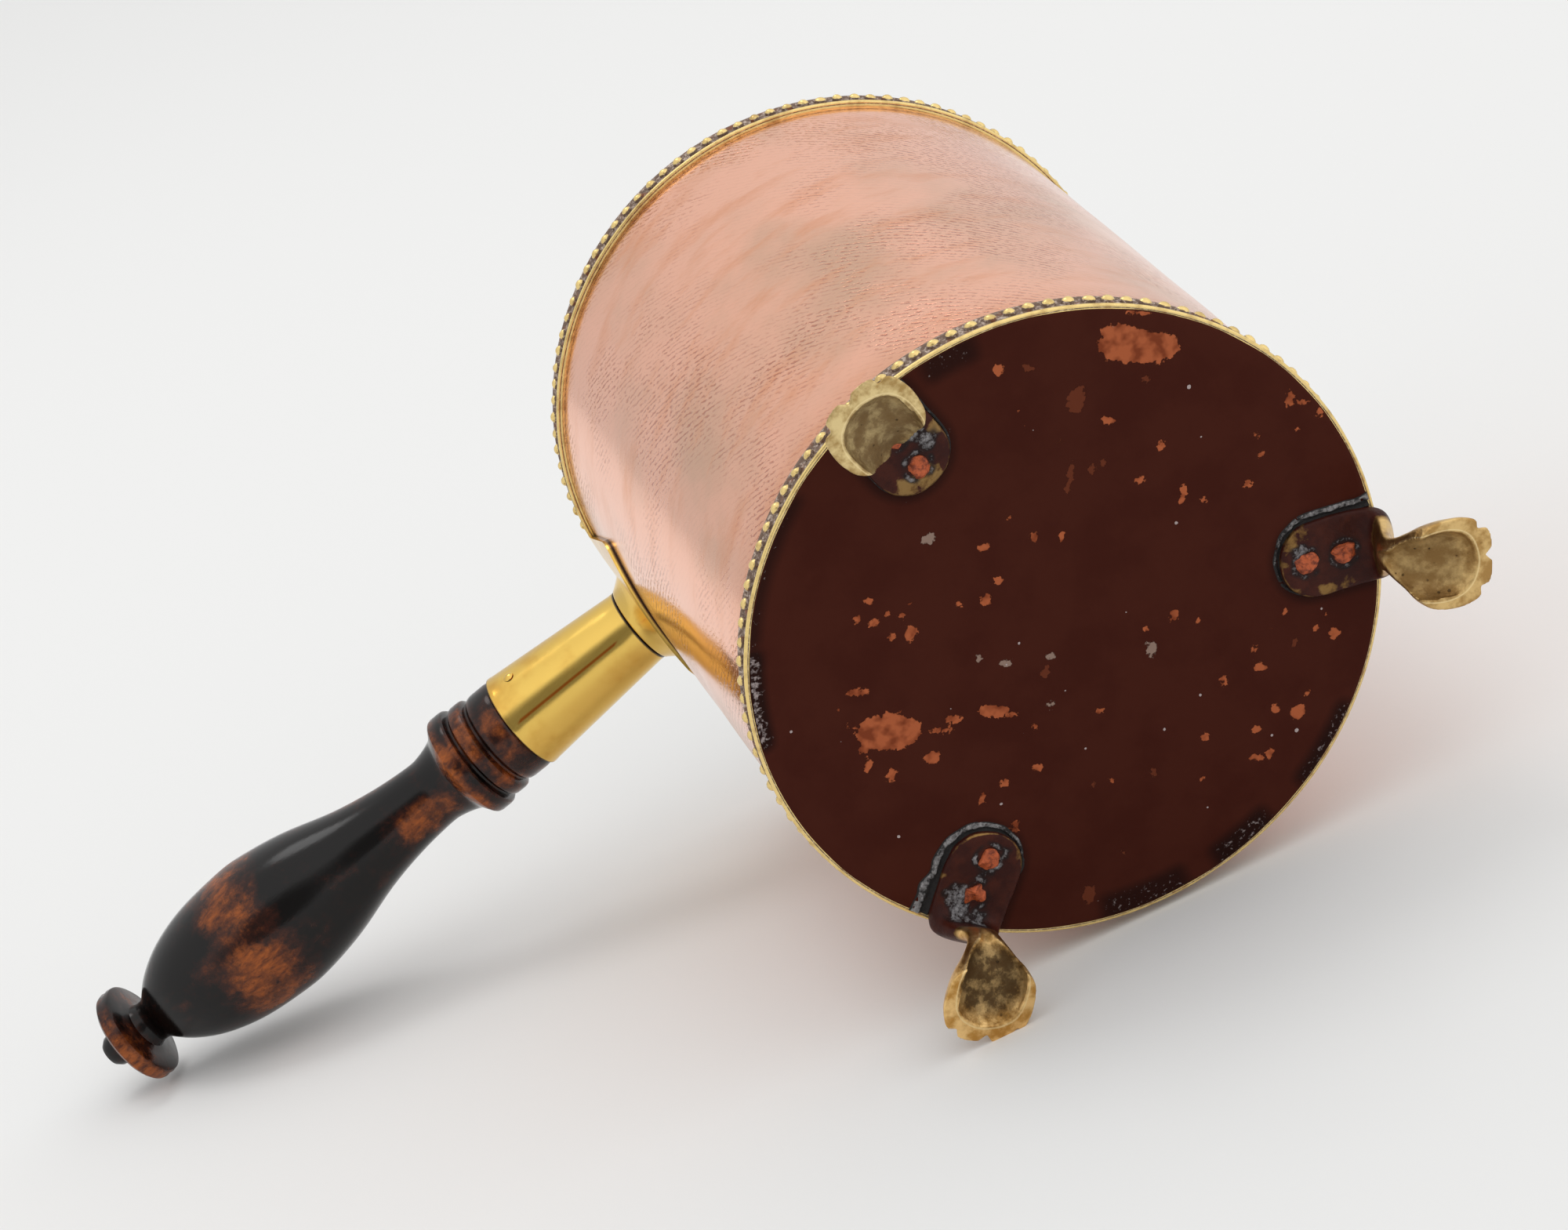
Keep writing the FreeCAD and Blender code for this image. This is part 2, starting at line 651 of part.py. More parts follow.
def main():
    os.makedirs(OUT, exist_ok=True)
    nodes = {
        "body_wall": make_body_wall(),
        "base_plate": make_base_plate(),
        "mouth_border": make_mouth_border(),
        "base_border": make_base_border(),
        "foot_rivets": make_foot_rivets(),
        "handle_plate": make_handle_plate(),
        "ferrule": make_ferrule(),
        "ferrule_pin": make_ferrule_pin(),
        "handle_grip": make_handle_grip(),
    }
    for name, angle in FOOT_ANGLES.items():
        nodes[name] = make_foot(name, angle)
    for name, shape in nodes.items():
        print(name, "valid", shape.isValid(), "solids", len(shape.Solids), "volume", round(shape.Volume, 1))
        shape.exportStep(os.path.join(OUT, name + ".step"))


main()
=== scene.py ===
"""Looks of a copper saucepan on shell feet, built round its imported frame.

Everything is in metres in the row frame: +Z runs up the pan's axis to the mouth, +X
towards the handle, and the origin is the centre of the base. Nothing moves, so every
piece rides on the one body.
"""

import math
from functools import partial

import bpy
from bpy.props import FloatProperty, FloatVectorProperty, IntProperty, PointerProperty
from mathutils import Matrix, Vector, bvhtree, kdtree, noise


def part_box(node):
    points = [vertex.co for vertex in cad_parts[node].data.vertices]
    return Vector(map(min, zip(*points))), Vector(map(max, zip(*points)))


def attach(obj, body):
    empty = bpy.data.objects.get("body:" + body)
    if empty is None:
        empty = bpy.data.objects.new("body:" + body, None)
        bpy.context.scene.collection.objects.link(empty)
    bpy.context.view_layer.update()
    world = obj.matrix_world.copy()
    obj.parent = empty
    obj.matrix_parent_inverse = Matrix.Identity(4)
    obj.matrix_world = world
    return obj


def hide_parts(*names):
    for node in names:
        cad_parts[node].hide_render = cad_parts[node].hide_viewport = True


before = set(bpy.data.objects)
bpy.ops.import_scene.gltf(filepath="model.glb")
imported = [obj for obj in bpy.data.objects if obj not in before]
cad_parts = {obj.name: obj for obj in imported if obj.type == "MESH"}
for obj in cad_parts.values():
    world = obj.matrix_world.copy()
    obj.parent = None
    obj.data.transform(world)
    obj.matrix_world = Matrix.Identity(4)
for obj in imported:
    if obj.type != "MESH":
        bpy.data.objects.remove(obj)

bl_info = {
    "name": "Copper saucepan",
    "version": (1, 0, 0),
    "blender": (4, 5, 0),
    "location": "3D View > Sidebar > Saucepan",
    "description": "Builds a copper saucepan on shell feet with a turned wooden handle",
    "category": "Add Mesh",
}

MM = 0.001
BODY = "root"
AXIS = (0.0, 0.0, 1.0)
# Pieces of the handle are turned about this, then put in place by handle_matrix.
HANDLE_AXIS = (1.0, 0.0, 0.0)
# Each foot's place round the base in degrees, and how far its shell is turned, in degrees,
# and shifted sideways, in millimetres.
FOOT_NAMES = {"foot_side": 90.0, "foot_far": 210.0, "foot_near": 330.0}
PAD_TWISTS = {"foot_side": 0.0, "foot_far": 6.0, "foot_near": -7.5}
PAD_SHIFTS = {"foot_side": -0.8, "foot_far": -1.0, "foot_near": -1.1}
# Distances in millimetres from the pan's axis.
RIVET_RADII = (46.3, 53.8)
TONGUE_BEND = 48.8
SHELL_CENTRE = 66.7
# Half width of a tongue, which is its round end's radius, and length of its straight sides,
# in millimetres.
TONGUE_HALF = 7.6
TONGUE_STRAIGHT = 11.4
# Without a seed the noise vectors differ from one run to the next.
noise.seed_set(5)


def linear(code):
    """Linear colour with full alpha from an sRGB hex code."""
    parts = [int(code[place:place + 2], 16) / 255 for place in (1, 3, 5)]
    return (*[
        part / 12.92 if part <= 0.04045 else ((part + 0.055) / 1.055) ** 2.4 for part in parts
    ], 1.0)


def length_setting(name, description, default_mm):
    return FloatProperty(
        name=name, description=description, default=default_mm * MM, unit="LENGTH"
    )


def colour_setting(name, description, code):
    return FloatVectorProperty(
        name=name, description=description, default=linear(code), size=4, min=0.0, max=1.0,
        subtype="COLOR",
    )


class PanSizes(bpy.types.PropertyGroup):
    """Sizes of the pan's body, borders, feet and handle."""

    base_radius: length_setting("Base radius", "Outside radius of the wall at the base", 60.5)
    mouth_radius: length_setting("Mouth radius", "Outside radius of the wall at the mouth", 62.6)
    height: FloatProperty(
        name="Height", description="Height of the wall",
        default=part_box("body_wall")[1].z, unit="LENGTH",
    )
    wall: length_setting("Wall", "Thickness of the copper wall", 1.2)
    base: length_setting("Base", "Thickness of the base plate", 1.5)
    collar: length_setting("Border height", "Height of each brass border", 6.4)
    bead_pitch: length_setting("Bead pitch", "Distance from bead to bead", 3.7)
    dents: length_setting("Dents", "Depth of the wall's soft unevenness", 0.12)
    foot_drop: FloatProperty(
        name="Foot drop", description="Height of the base over the table",
        default=-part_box("foot_side")[0].z, unit="LENGTH",
    )
    handle_height: length_setting("Handle height", "Height of the handle's axis at the wall", 125.6)
    handle_tilt: FloatProperty(
        name="Handle tilt", description="Climb of the handle towards its end",
        default=math.radians(9.1), subtype="ANGLE",
    )
    steps: IntProperty(
        name="Steps", description="Steps round the wall; the base and the borders have more",
        default=144, min=24,
    )


class PanColours(bpy.types.PropertyGroup):
    """Colours of the pan's finishes."""

    copper: colour_setting("Copper", "Polished copper", "#FFBFA2")
    tarnish: colour_setting("Tarnish", "Brown cast of tarnished copper", "#DBAE90")
    paint: colour_setting("Base paint", "Dark brown paint under the base", "#431D14")
    bare: colour_setting("Bare copper", "Copper where the paint has chipped", "#A85A38")
    brass: colour_setting("Brass", "Rolled and cast brass", "#F0D38C")
    grime: colour_setting("Grime", "Dirt lodged in hollows", "#765F50")
    lacquer: colour_setting("Lacquer", "Near-black lacquer on the grip", "#0B0807")
    worn_wood: colour_setting("Worn wood", "Wood where the lacquer has worn", "#A2551E")
    tin: colour_setting("Tin", "Wiped tin lining", "#B9B4AB")


class PanStage(bpy.types.PropertyGroup):
    """Light, floor and camera."""

    sky: FloatProperty(
        name="Sky", description="Strength of the white surroundings", default=0.92, min=0.0
    )
    lamp: FloatProperty(
        name="Lamp", description="Power of the soft lamp", default=6.5, min=0.0, unit="POWER"
    )
    lens: FloatProperty(
        name="Lens", description="Focal length in millimetres", default=85.65, min=1.0
    )
    floor: colour_setting("Floor", "Pale seamless floor", "#EAEAE9")


def sizes():
    return bpy.context.scene.saucepan_sizes


def colours():
    return bpy.context.scene.saucepan_colours


def deselect():
    """Leaves nothing selected, because an operator acts on all that is."""
    if bpy.context.mode != "OBJECT":
        bpy.ops.object.mode_set(mode="OBJECT")
    bpy.ops.object.select_all(action="DESELECT")


def pick(*pieces):
    """Selects only these pieces, and makes the first one active."""
    deselect()
    for piece in pieces:
        piece.select_set(True)
    bpy.context.view_layer.objects.active = pieces[0]


def name_piece(name):
    piece = bpy.context.object
    piece.name = name
    piece.data.name = name
    return piece


def place_piece(piece, matrix):
    """Puts a piece in its place and leaves its object at the origin, unturned and unscaled."""
    piece.matrix_world = matrix
    pick(piece)
    bpy.ops.object.transform_apply(location=True, rotation=True, scale=True)


def finish_piece(piece, nodes, materials, sharp=35.0):
    """Smooths a piece, gives it its materials and ties it to the frame."""
    pick(piece)
    bpy.ops.object.shade_smooth_by_angle(angle=math.radians(sharp))
    for material in materials:
        piece.data.materials.append(material)
    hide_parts(*nodes)
    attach(piece, BODY)
    return piece


def join(pieces, name):
    """Joins pieces into the first one."""
    pick(*pieces)
    bpy.ops.object.join()
    return name_piece(name)


def close_mesh(merge_mm, fill=True):
    """Merges doubles, fills open ends and points the faces outwards, then leaves edit mode."""
    bpy.ops.mesh.select_all(action="SELECT")
    bpy.ops.mesh.remove_doubles(threshold=MM * merge_mm)
    if fill:
        bpy.ops.mesh.fill_holes(sides=0)
    bpy.ops.mesh.select_all(action="SELECT")
    bpy.ops.mesh.normals_make_consistent(inside=False)
    bpy.ops.object.mode_set(mode="OBJECT")


def trace(name, points):
    """New piece that is a line through the points, extruded one vertex at a time."""
    deselect()
    bpy.ops.mesh.primitive_plane_add(size=MM)
    piece = name_piece(name)
    bpy.ops.object.mode_set(mode="EDIT")
    bpy.ops.mesh.select_mode(type="VERT")
    bpy.ops.mesh.merge(type="CENTER")
    bpy.ops.transform.translate(value=points[0])
    for before, after in zip(points, points[1:]):
        bpy.ops.mesh.extrude_region_move(TRANSFORM_OT_translate={"value": after - before})
    return piece


def turn(name, profile, steps, axis=AXIS, sweep=math.tau, start=0.0):
    """Turned piece: a profile of (radius, height) in millimetres spun clockwise about an axis.

    About Z the radius runs along X; about X the height runs along X and the radius along Z.
    """
    if axis == AXIS:
        points = [Vector((radius, 0, height)) * MM for radius, height in profile]
        lead = Matrix.Rotation(start, 3, "Z")
    else:
        points = [Vector((height, 0, radius)) * MM for radius, height in profile]
        lead = Matrix.Identity(3)
    piece = trace(name, [lead @ point for point in points])
    bpy.ops.mesh.select_all(action="SELECT")
    bpy.ops.mesh.spin(steps=steps, angle=sweep, center=(0, 0, 0), axis=axis)
    close_mesh(0.002, fill=sweep < math.tau)
    return piece


def grid(name, along, across):
    """Flat grid from -1 to 1 each way, for its vertices to be laid on a surface."""
    deselect()
    bpy.ops.mesh.primitive_grid_add(x_subdivisions=along, y_subdivisions=across, size=2.0)
    return name_piece(name)


def ball(name, segments, rings, half_sizes, matrix):
    """Ball with these half sizes in millimetres, put in its place by a matrix."""
    deselect()
    bpy.ops.mesh.primitive_uv_sphere_add(segments=segments, ring_count=rings, radius=1.0)
    piece = name_piece(name)
    place_piece(piece, matrix @ Matrix.Diagonal((*(Vector(half_sizes) * MM), 1.0)))
    return piece


def between(first, last, count):
    """Points of a straight run, with both ends."""
    return [
        tuple(a + (b - a) * index / count for a, b in zip(first, last))
        for index in range(count + 1)
    ]


def curve_through(knots, count):
    """Smooth run through knots, with count points to each span."""
    padded = [knots[0], *knots, knots[-1]]
    run = []
    for before, first, last, after in zip(padded, padded[1:], padded[2:], padded[3:]):
        for index in range(count):
            t = index / count
            run.append(tuple(
                0.5 * (
                    2 * b + (c - a) * t + (2 * a - 5 * b + 4 * c - d) * t ** 2
                    + (3 * b - a - 3 * c + d) * t ** 3
                )
                for a, b, c, d in zip(before, first, last, after)
            ))
    return [*run, knots[-1]]


def ease(value, low, high):
    """Smooth step from 0 at low to 1 at high."""
    share = min(max((value - low) / (high - low), 0.0), 1.0)
    return share * share * (3 - 2 * share)


def sample(table, at):
    """Value at a place in a table of (place, value), straight between its rows."""
    for (first, low), (last, high) in zip(table, table[1:]):
        if at <= last:
            share = max((at - first) / (last - first), 0.0)
            return low + (high - low) * share
    return table[-1][1]


def turned_about_z(degrees):
    return Matrix.Rotation(math.radians(degrees), 4, "Z")


def outward_from_axis(point):
    """Level direction from the pan's axis to a point."""
    return Vector((point.x, point.y, 0)).normalized()


def handle_matrix():
    """Place of the handle's own frame, whose X runs out along the grip."""
    where = Vector((sizes().mouth_radius, 0, sizes().handle_height))
    return Matrix.Translation(where) @ Matrix.Rotation(-sizes().handle_tilt, 4, "Y")


def modify(piece, kind, **settings):
    """Adds a modifier and applies it."""
    modifier = piece.modifiers.new(kind.title(), kind)
    for key, value in settings.items():
        setattr(modifier, key, value)
    pick(piece)
    bpy.ops.object.modifier_apply(modifier=modifier.name)


def wall_radius(height_mm):
    """Outside radius of the wall, in millimetres: straight collars, an even taper between."""
    base = sizes().base_radius / MM
    mouth = sizes().mouth_radius / MM
    low = sizes().collar / MM
    high = sizes().height / MM - low
    share = min(max((height_mm - low) / (high - low), 0.0), 1.0)
    return base + (mouth - base) * share


# ---------------------------------------------------------------- materials


def add_node(tree, kind, inputs=None, out=0, **settings):
    """Adds a node with its settings, fills or links its inputs, and returns one output."""
    node = tree.nodes.new("ShaderNode" + kind)
    for key, value in settings.items():
        setattr(node, key, value)
    for key, value in (inputs or {}).items():
        if isinstance(value, bpy.types.NodeSocket):
            tree.links.new(value, node.inputs[key])
        else:
            node.inputs[key].default_value = value
    return node.outputs[out]


def start_material(name):
    """Material without a surface, add_node for its tree, and each point's place on the pan."""
    material = bpy.data.materials.new(name)
    material.use_nodes = True
    tree = material.node_tree
    tree.nodes.remove(tree.nodes["Principled BSDF"])
    put = partial(add_node, tree)
    return material, put, put("TexCoord", out="Object")


def end_material(material, surface):
    tree = material.node_tree
    tree.links.new(surface, tree.nodes["Material Output"].inputs["Surface"])
    return material


def lay(put, under, over, where, low, high, most=1.0, soft=False):
    """Lays a colour over another, from none of it where a value is low to most of it at high."""
    share = put("MapRange", {
        "Value": where, "From Min": low, "From Max": high, "To Max": most,
    }, interpolation_type="SMOOTHSTEP" if soft else "LINEAR")
    return put("Mix", {0: share, 6: under, 7: over}, 2, data_type="RGBA")


def ragged(put, value, *patterns):
    """Breaks up a value with patterns, each given with its strength."""
    for pattern, strength in patterns:
        value = put("Math", {0: pattern, 1: strength, 2: value}, operation="MULTIPLY_ADD")
    return value


# The wall's pattern is unrolled at this radius, and its seam turned to the hidden side.
UNROLLED_RADIUS = 63.5 * MM
UNROLLED_TURN = math.radians(-100)
# Angle of the polishing strokes from level.
STROKE_SLANT = math.radians(-45)
# A wave texture of scale 1 repeats after this length.
WAVE_REPEAT = 0.314


def polished_copper():
    """Copper sheet, raised and hand polished: it mirrors softly under a faint brown cast,
    with orange streaks where it was cleaned hard and rows of shallow pits like fish scales."""
    material, put, place = start_material("polished_copper_sheet")
    height = put("SeparateXYZ", {0: place}, "Z")
    turned = put("Mapping", {"Vector": place, "Rotation": (0, 0, UNROLLED_TURN)})
    turned = put("SeparateXYZ", {0: turned}).node.outputs
    around = put("Math", {0: turned["Y"], 1: turned["X"]}, operation="ARCTAN2")
    around = put("Math", {0: around, 1: UNROLLED_RADIUS}, operation="MULTIPLY")
    flat = put("CombineXYZ", {"X": around, "Y": height})
    tall = put("Mapping", {"Vector": place, "Scale": (1, 1, 0.6)})
    clouds = put("TexNoise", {
        "Vector": tall, "Scale": 1 / (34 * MM), "Detail": 5.0, "Roughness": 0.55,
    })
    tint = lay(put, colours().copper, colours().tarnish, clouds, 0.4, 0.75, soft=True)
    streaks = put("Mapping", {
        "Vector": flat, "Rotation": (0, 0, math.radians(12)), "Scale": (0.42, 1.15, 1),
    })
    blots = put("TexNoise", {
        "Vector": streaks, "Scale": 1 / (11 * MM), "Detail": 6.0, "Roughness": 0.65,
    })
    tint = lay(put, tint, linear("#E8955F"), blots, 0.5, 0.74, 0.7)
    # The lowest centimetre is painted orange: a painted reflection of the brass border below it.
    painted_border_reflection = ragged(put, height, (blots, 8 * MM))
    tint = lay(put, tint, linear("#E29A6C"), painted_border_reflection, 20 * MM, 8 * MM, 0.45)
    # Rows of pits climb the wall with the polishing strokes. Real pits are under 0.3 mm wide;
    # they are drawn 0.5 mm wide so that they show.
    strokes = put("Mapping", {
        "Vector": flat, "Rotation": (0, 0, STROKE_SLANT), "Scale": (1, 0.4, 1),
    }, vector_type="TEXTURE")
    pits = put("TexNoise", {
        "Vector": strokes, "Scale": 1 / (1.5 * MM), "Detail": 2.0, "Roughness": 0.6,
    })
    rows = put("TexWave", {
        "Vector": strokes, "Scale": WAVE_REPEAT / (3.4 * MM), "Distortion": 6.0, "Detail": 2.0,
        "Detail Scale": 0.5,
    }, "Fac", bands_direction="Y")
    pits = ragged(put, pits, (rows, 0.2))
    pits = put("MapRange", {"Value": pits, "From Min": 0.64, "From Max": 0.76})
    zone = put("TexNoise", {"Vector": place, "Scale": 1 / (24 * MM), "Detail": 2.0})
    zone = put("MapRange", {"Value": zone, "From Min": 0.4, "From Max": 0.58, "To Min": 0.1})
    pits = put("Math", {0: pits, 1: zone}, operation="MULTIPLY")
    shade = put("Math", {0: pits, 1: 0.62}, operation="MULTIPLY")
    tint = put("Mix", {0: shade, 6: tint, 7: linear("#A8523A")}, 2, data_type="RGBA")
    rough = put("MapRange", {
        "Value": clouds, "From Min": 0.3, "From Max": 0.7, "To Min": 0.1, "To Max": 0.2,
    })
    swell = put("Bump", {"Height": blots, "Distance": 0.05 * MM})
    normal = put("Bump", {"Height": pits, "Distance": -0.04 * MM, "Normal": swell})
    return end_material(material, put("BsdfPrincipled", {
        "Base Color": tint, "Metallic": 1.0, "Roughness": rough, "Normal": normal,
    }))


def wiped_tin():
    """Tin lining wiped on hot: dull silver-grey with soft drag marks and darker wear."""
    material, put, place = start_material("wiped_tin_lining")
    drag = put("Mapping", {"Vector": place, "Scale": (1, 1, 2.2)})
    drag = put("TexNoise", {
        "Vector": drag, "Scale": 1 / (14 * MM), "Detail": 5.0, "Roughness": 0.62,
    })
    tint = lay(put, colours().tin, linear("#A09A91"), drag, 0.4, 0.68, soft=True)
    rough = put("MapRange", {
        "Value": drag, "From Min": 0.35, "From Max": 0.7, "To Min": 0.3, "To Max": 0.48,
    })
    normal = put("Bump", {"Height": drag, "Distance": 0.14 * MM})
    return end_material(material, put("BsdfPrincipled", {
        "Base Color": tint, "Metallic": 0.5, "Roughness": rough, "Normal": normal,
    }))


def base_paint():
    """Dark brown enamel brushed on copper: nearly matt, chipped to orange metal, with white
    scale flecks, a dirty crust along parts of the rim, and painted shade round the tongues."""
    material, put, place = start_material("brushed_brown_enamel")
    reach, kind, crust_and_shade = [
        put("Attribute", out="Fac", attribute_name=layer)
        for layer in ("chip_reach", "chip_kind", "rim_crust_and_tongue_shade")
    ]
    coarse = put("TexNoise", {"Vector": place, "Scale": 1 / (2.8 * MM), "Detail": 2.0})
    fine = put("TexNoise", {
        "Vector": place, "Scale": 1 / (0.9 * MM), "Detail": 4.0, "Roughness": 0.65,
    })
    chip = ragged(put, reach, (coarse, 2.2), (fine, 2.2))
    chip = put("MapRange", {"Value": chip, "From Min": 2.12, "From Max": 1.98})
    metal = lay(put, colours().bare, linear("#7A3A22"), coarse, 0.42, 0.62)
    metal = lay(put, metal, linear("#62301F"), kind, 0.1, 0.5)
    metal = lay(put, metal, linear("#8B7468"), kind, 0.6, 1.0)
    smear = put("TexNoise", {
        "Vector": place, "Scale": 1 / (15 * MM), "Detail": 4.0, "Roughness": 0.55,
    })
    smear = put("MapRange", {
        "Value": smear, "From Min": 0.4, "From Max": 0.65,
    }, interpolation_type="SMOOTHSTEP")
    paint = put("Mix", {0: smear, 6: colours().paint, 7: linear("#3E1911")}, 2, data_type="RGBA")
    tint = put("Mix", {0: chip, 6: paint, 7: metal}, 2, data_type="RGBA")
    # Flecks of scale up to 0.7 mm across, scattered about 10 mm apart.
    cells = put("Mapping", {"Vector": place, "Scale": (1, 1, 0)})
    cells = put("TexVoronoi", {"Vector": cells, "Scale": 1 / (4.5 * MM)})
    order = put("SeparateColor", {0: cells.node.outputs["Color"]})
    order = ragged(put, order, (smear, 0.12))
    size = put("MapRange", {"Value": order, "From Min": 0.7, "From Max": 1.1, "To Max": 0.09})
    torn = put("Math", {0: ragged(put, cells, (fine, -0.09)), 1: 0.045}, operation="ADD")
    fleck = put("Math", {0: size, 1: torn}, operation="GREATER_THAN")
    scale = ragged(put, fine, (crust_and_shade, 0.42))
    scale = put("MapRange", {"Value": scale, "From Min": 0.86, "From Max": 1.0, "To Max": 0.85})
    scale = put("Math", {0: scale, 1: fleck}, operation="MAXIMUM")
    # Darker under the crust along the rim; round the tongues this darkening is painted shade.
    tint = lay(put, tint, linear("#120B0A"), crust_and_shade, 0.1, 0.7, 0.75)
    tint = put("Mix", {0: scale, 6: tint, 7: linear("#A89A98")}, 2, data_type="RGBA")
    lump = put("Math", {0: scale, 1: chip}, operation="SUBTRACT")
    swell = put("Bump", {"Height": smear, "Distance": 0.1 * MM})
    normal = put("Bump", {"Height": lump, "Distance": 0.12 * MM, "Normal": swell})
    return end_material(material, put("BsdfPrincipled", {
        "Base Color": tint, "Roughness": 0.4, "Specular IOR Level": 0.04, "Normal": normal,
    }))


def border_brass():
    """Pressed brass strip: dull gold where hands rub it, purple-grey dirt between the beads, and a
    painted dark reflection line under its lower fillet.
    """
    material, put, place = start_material("pressed_brass_strip")
    fine = put("TexNoise", {
        "Vector": place, "Scale": 1 / (0.8 * MM), "Detail": 4.0, "Roughness": 0.65,
    })
    clean = ragged(put, put("Attribute", out="Fac", attribute_name="rubbed_and_reflection_line"), (fine, 0.7))
    clean = put("MapRange", {
        "Value": clean, "From Min": 0.84, "From Max": 1.1,
    }, interpolation_type="SMOOTHSTEP")
    dirt = lay(put, colours().grime, linear("#D8C6B8"), fine, 0.5, 0.66)
    patch = put("TexNoise", {"Vector": place, "Scale": 1 / (2.6 * MM), "Detail": 3.0})
    dirt = lay(put, dirt, linear("#8A5030"), patch, 0.58, 0.68, 0.8)
    gold = lay(put, colours().brass, linear("#B4925A"), patch, 0.5, 0.72, 0.7)
    tint = put("Mix", {0: clean, 6: dirt, 7: gold}, 2, data_type="RGBA")
    # Dirt is dull, rough and lumpy; rubbed metal is bright and smooth.
    metal, rough, depth = [
        put("MapRange", {"Value": clean, "To Min": dirty, "To Max": bright})
        for dirty, bright in ((0.2, 0.8), (0.6, 0.27), (1.0, 0.2))
    ]
    height = put("Math", {0: fine, 1: depth}, operation="MULTIPLY")
    normal = put("Bump", {"Height": height, "Distance": 0.3 * MM})
    return end_material(material, put("BsdfPrincipled", {
        "Base Color": tint, "Metallic": metal, "Roughness": rough, "Normal": normal,
    }))


def cast_brass(name, crest, dull, grime, amount):
    """Sand-cast brass with a painted highlight round the rim of its hollow: pitted in its hollow,
    where dirt has dried, and covered by the base's brown paint on its tongue, worn through
    along the edges."""
    material, put, place = start_material(name)
    paint, hollow, ring = [
        put("Attribute", out="Fac", attribute_name=layer) for layer in ("paint", "hollow", "ring")
    ]
    fine = put("TexNoise", {
        "Vector": place, "Scale": 1 / (0.8 * MM), "Detail": 5.0, "Roughness": 0.68,
    })
    patch = put("TexNoise", {
        "Vector": place, "Scale": 1 / (3.6 * MM), "Detail": 4.0, "Roughness": 0.6,
    })
    gold = lay(put, linear(crest), linear(dull), patch, 0.38, 0.64, soft=True)
    stain = ragged(put, hollow, (patch, 1.1), (fine, 0.5))
    stain = put("MapRange", {"Value": stain, "From Min": 1.2, "From Max": 1.8, "To Max": amount})
    tint = put("Mix", {0: stain, 6: gold, 7: linear(grime)}, 2, data_type="RGBA")
    # Casting pits 0.4 to 1 mm wide, mostly in the hollow.
    pocks = put("TexVoronoi", {"Vector": place, "Scale": 1 / (1.9 * MM)})
    pocks = ragged(put, pocks, (patch, -0.5))
    pocks = put("MapRange", {"Value": pocks, "From Min": -0.14, "From Max": -0.22, "To Max": 0.8})
    spread = put("MapRange", {"Value": hollow, "To Min": 0.25})
    pocks = put("Math", {0: pocks, 1: spread}, operation="MULTIPLY")
    tint = put("Mix", {0: pocks, 6: tint, 7: linear("#3B2F20")}, 2, data_type="RGBA")
    # A painted highlight along the rim of the hollow.
    rim = put("MapRange", {"Value": hollow, "From Min": 0.05, "From Max": 0.25})
    fall = put("MapRange", {
        "Value": hollow, "From Min": 0.25, "From Max": 0.55, "To Min": 0.65, "To Max": 0.0,
    })
    rim = put("Math", {0: rim, 1: fall}, operation="MULTIPLY")
    tint = put("Mix", {0: rim, 6: tint, 7: linear("#F8E2AC")}, 2, data_type="RGBA")
    # Paint of the base carried over the tongue, broken by wear along its edges.
    coat = ragged(put, paint, (patch, 0.95), (fine, 0.35))
    coat = put("MapRange", {"Value": coat, "From Min": 0.98, "From Max": 1.18})
    tint = lay(put, tint, linear("#7C5C32"), paint, 0.1, 0.36, 0.9)
    brown = lay(put, colours().paint, linear("#341510"), patch, 0.4, 0.6)
    tint = put("Mix", {0: coat, 6: tint, 7: brown}, 2, data_type="RGBA")
    # Grey-white scale left round the rivets by soldering.
    scale = ragged(put, fine, (ring, 0.5))
    scale = put("MapRange", {"Value": scale, "From Min": 0.82, "From Max": 1.14, "To Max": 0.8})
    tint = lay(put, tint, linear("#1C1616"), ring, 0.15, 0.6, 0.85)
    tint = put("Mix", {0: scale, 6: tint, 7: linear("#B4B2B4")}, 2, data_type="RGBA")
    # Metal shows where there is neither paint, nor stain, nor scale.
    bare = put("MapRange", {"Value": coat, "To Min": 1.0, "To Max": 0.0})
    dim = put("MapRange", {"Value": stain, "To Min": 1.0, "To Max": 0.45})
    clear = put("MapRange", {
        "Value": ring, "From Min": 0.1, "From Max": 0.5, "To Min": 1.0, "To Max": 0.0,
    })
    for cover in (dim, clear):
        bare = put("Math", {0: bare, 1: cover}, operation="MULTIPLY")
    rough = put("MapRange", {"Value": stain, "To Min": 0.3, "To Max": 0.5})
    lump = put("Math", {0: ragged(put, fine, (scale, 1.2)), 1: pocks}, operation="SUBTRACT")
    normal = put("Bump", {"Height": lump, "Distance": 0.16 * MM})
    return end_material(material, put("BsdfPrincipled", {
        "Base Color": tint, "Metallic": bare, "Roughness": rough, "Specular IOR Level": 0.12,
        "Normal": normal,
    }))


def hammered_copper():
    """Copper rivet closed with a hammer: dark orange, rough and uneven, dirty in its dents."""
    material, put, place = start_material("hammered_copper_rivet")
    fine = put("TexNoise", {
        "Vector": place, "Scale": 1 / (1.2 * MM), "Detail": 5.0, "Roughness": 0.65,
    })
    tint = lay(put, linear("#BE5C32"), linear("#702E18"), fine, 0.44, 0.62)
    normal = put("Bump", {"Height": fine, "Distance": 0.35 * MM})
    return end_material(material, put("BsdfPrincipled", {
        "Base Color": tint, "Metallic": 0.35, "Roughness": 0.42, "Normal": normal,
    }))


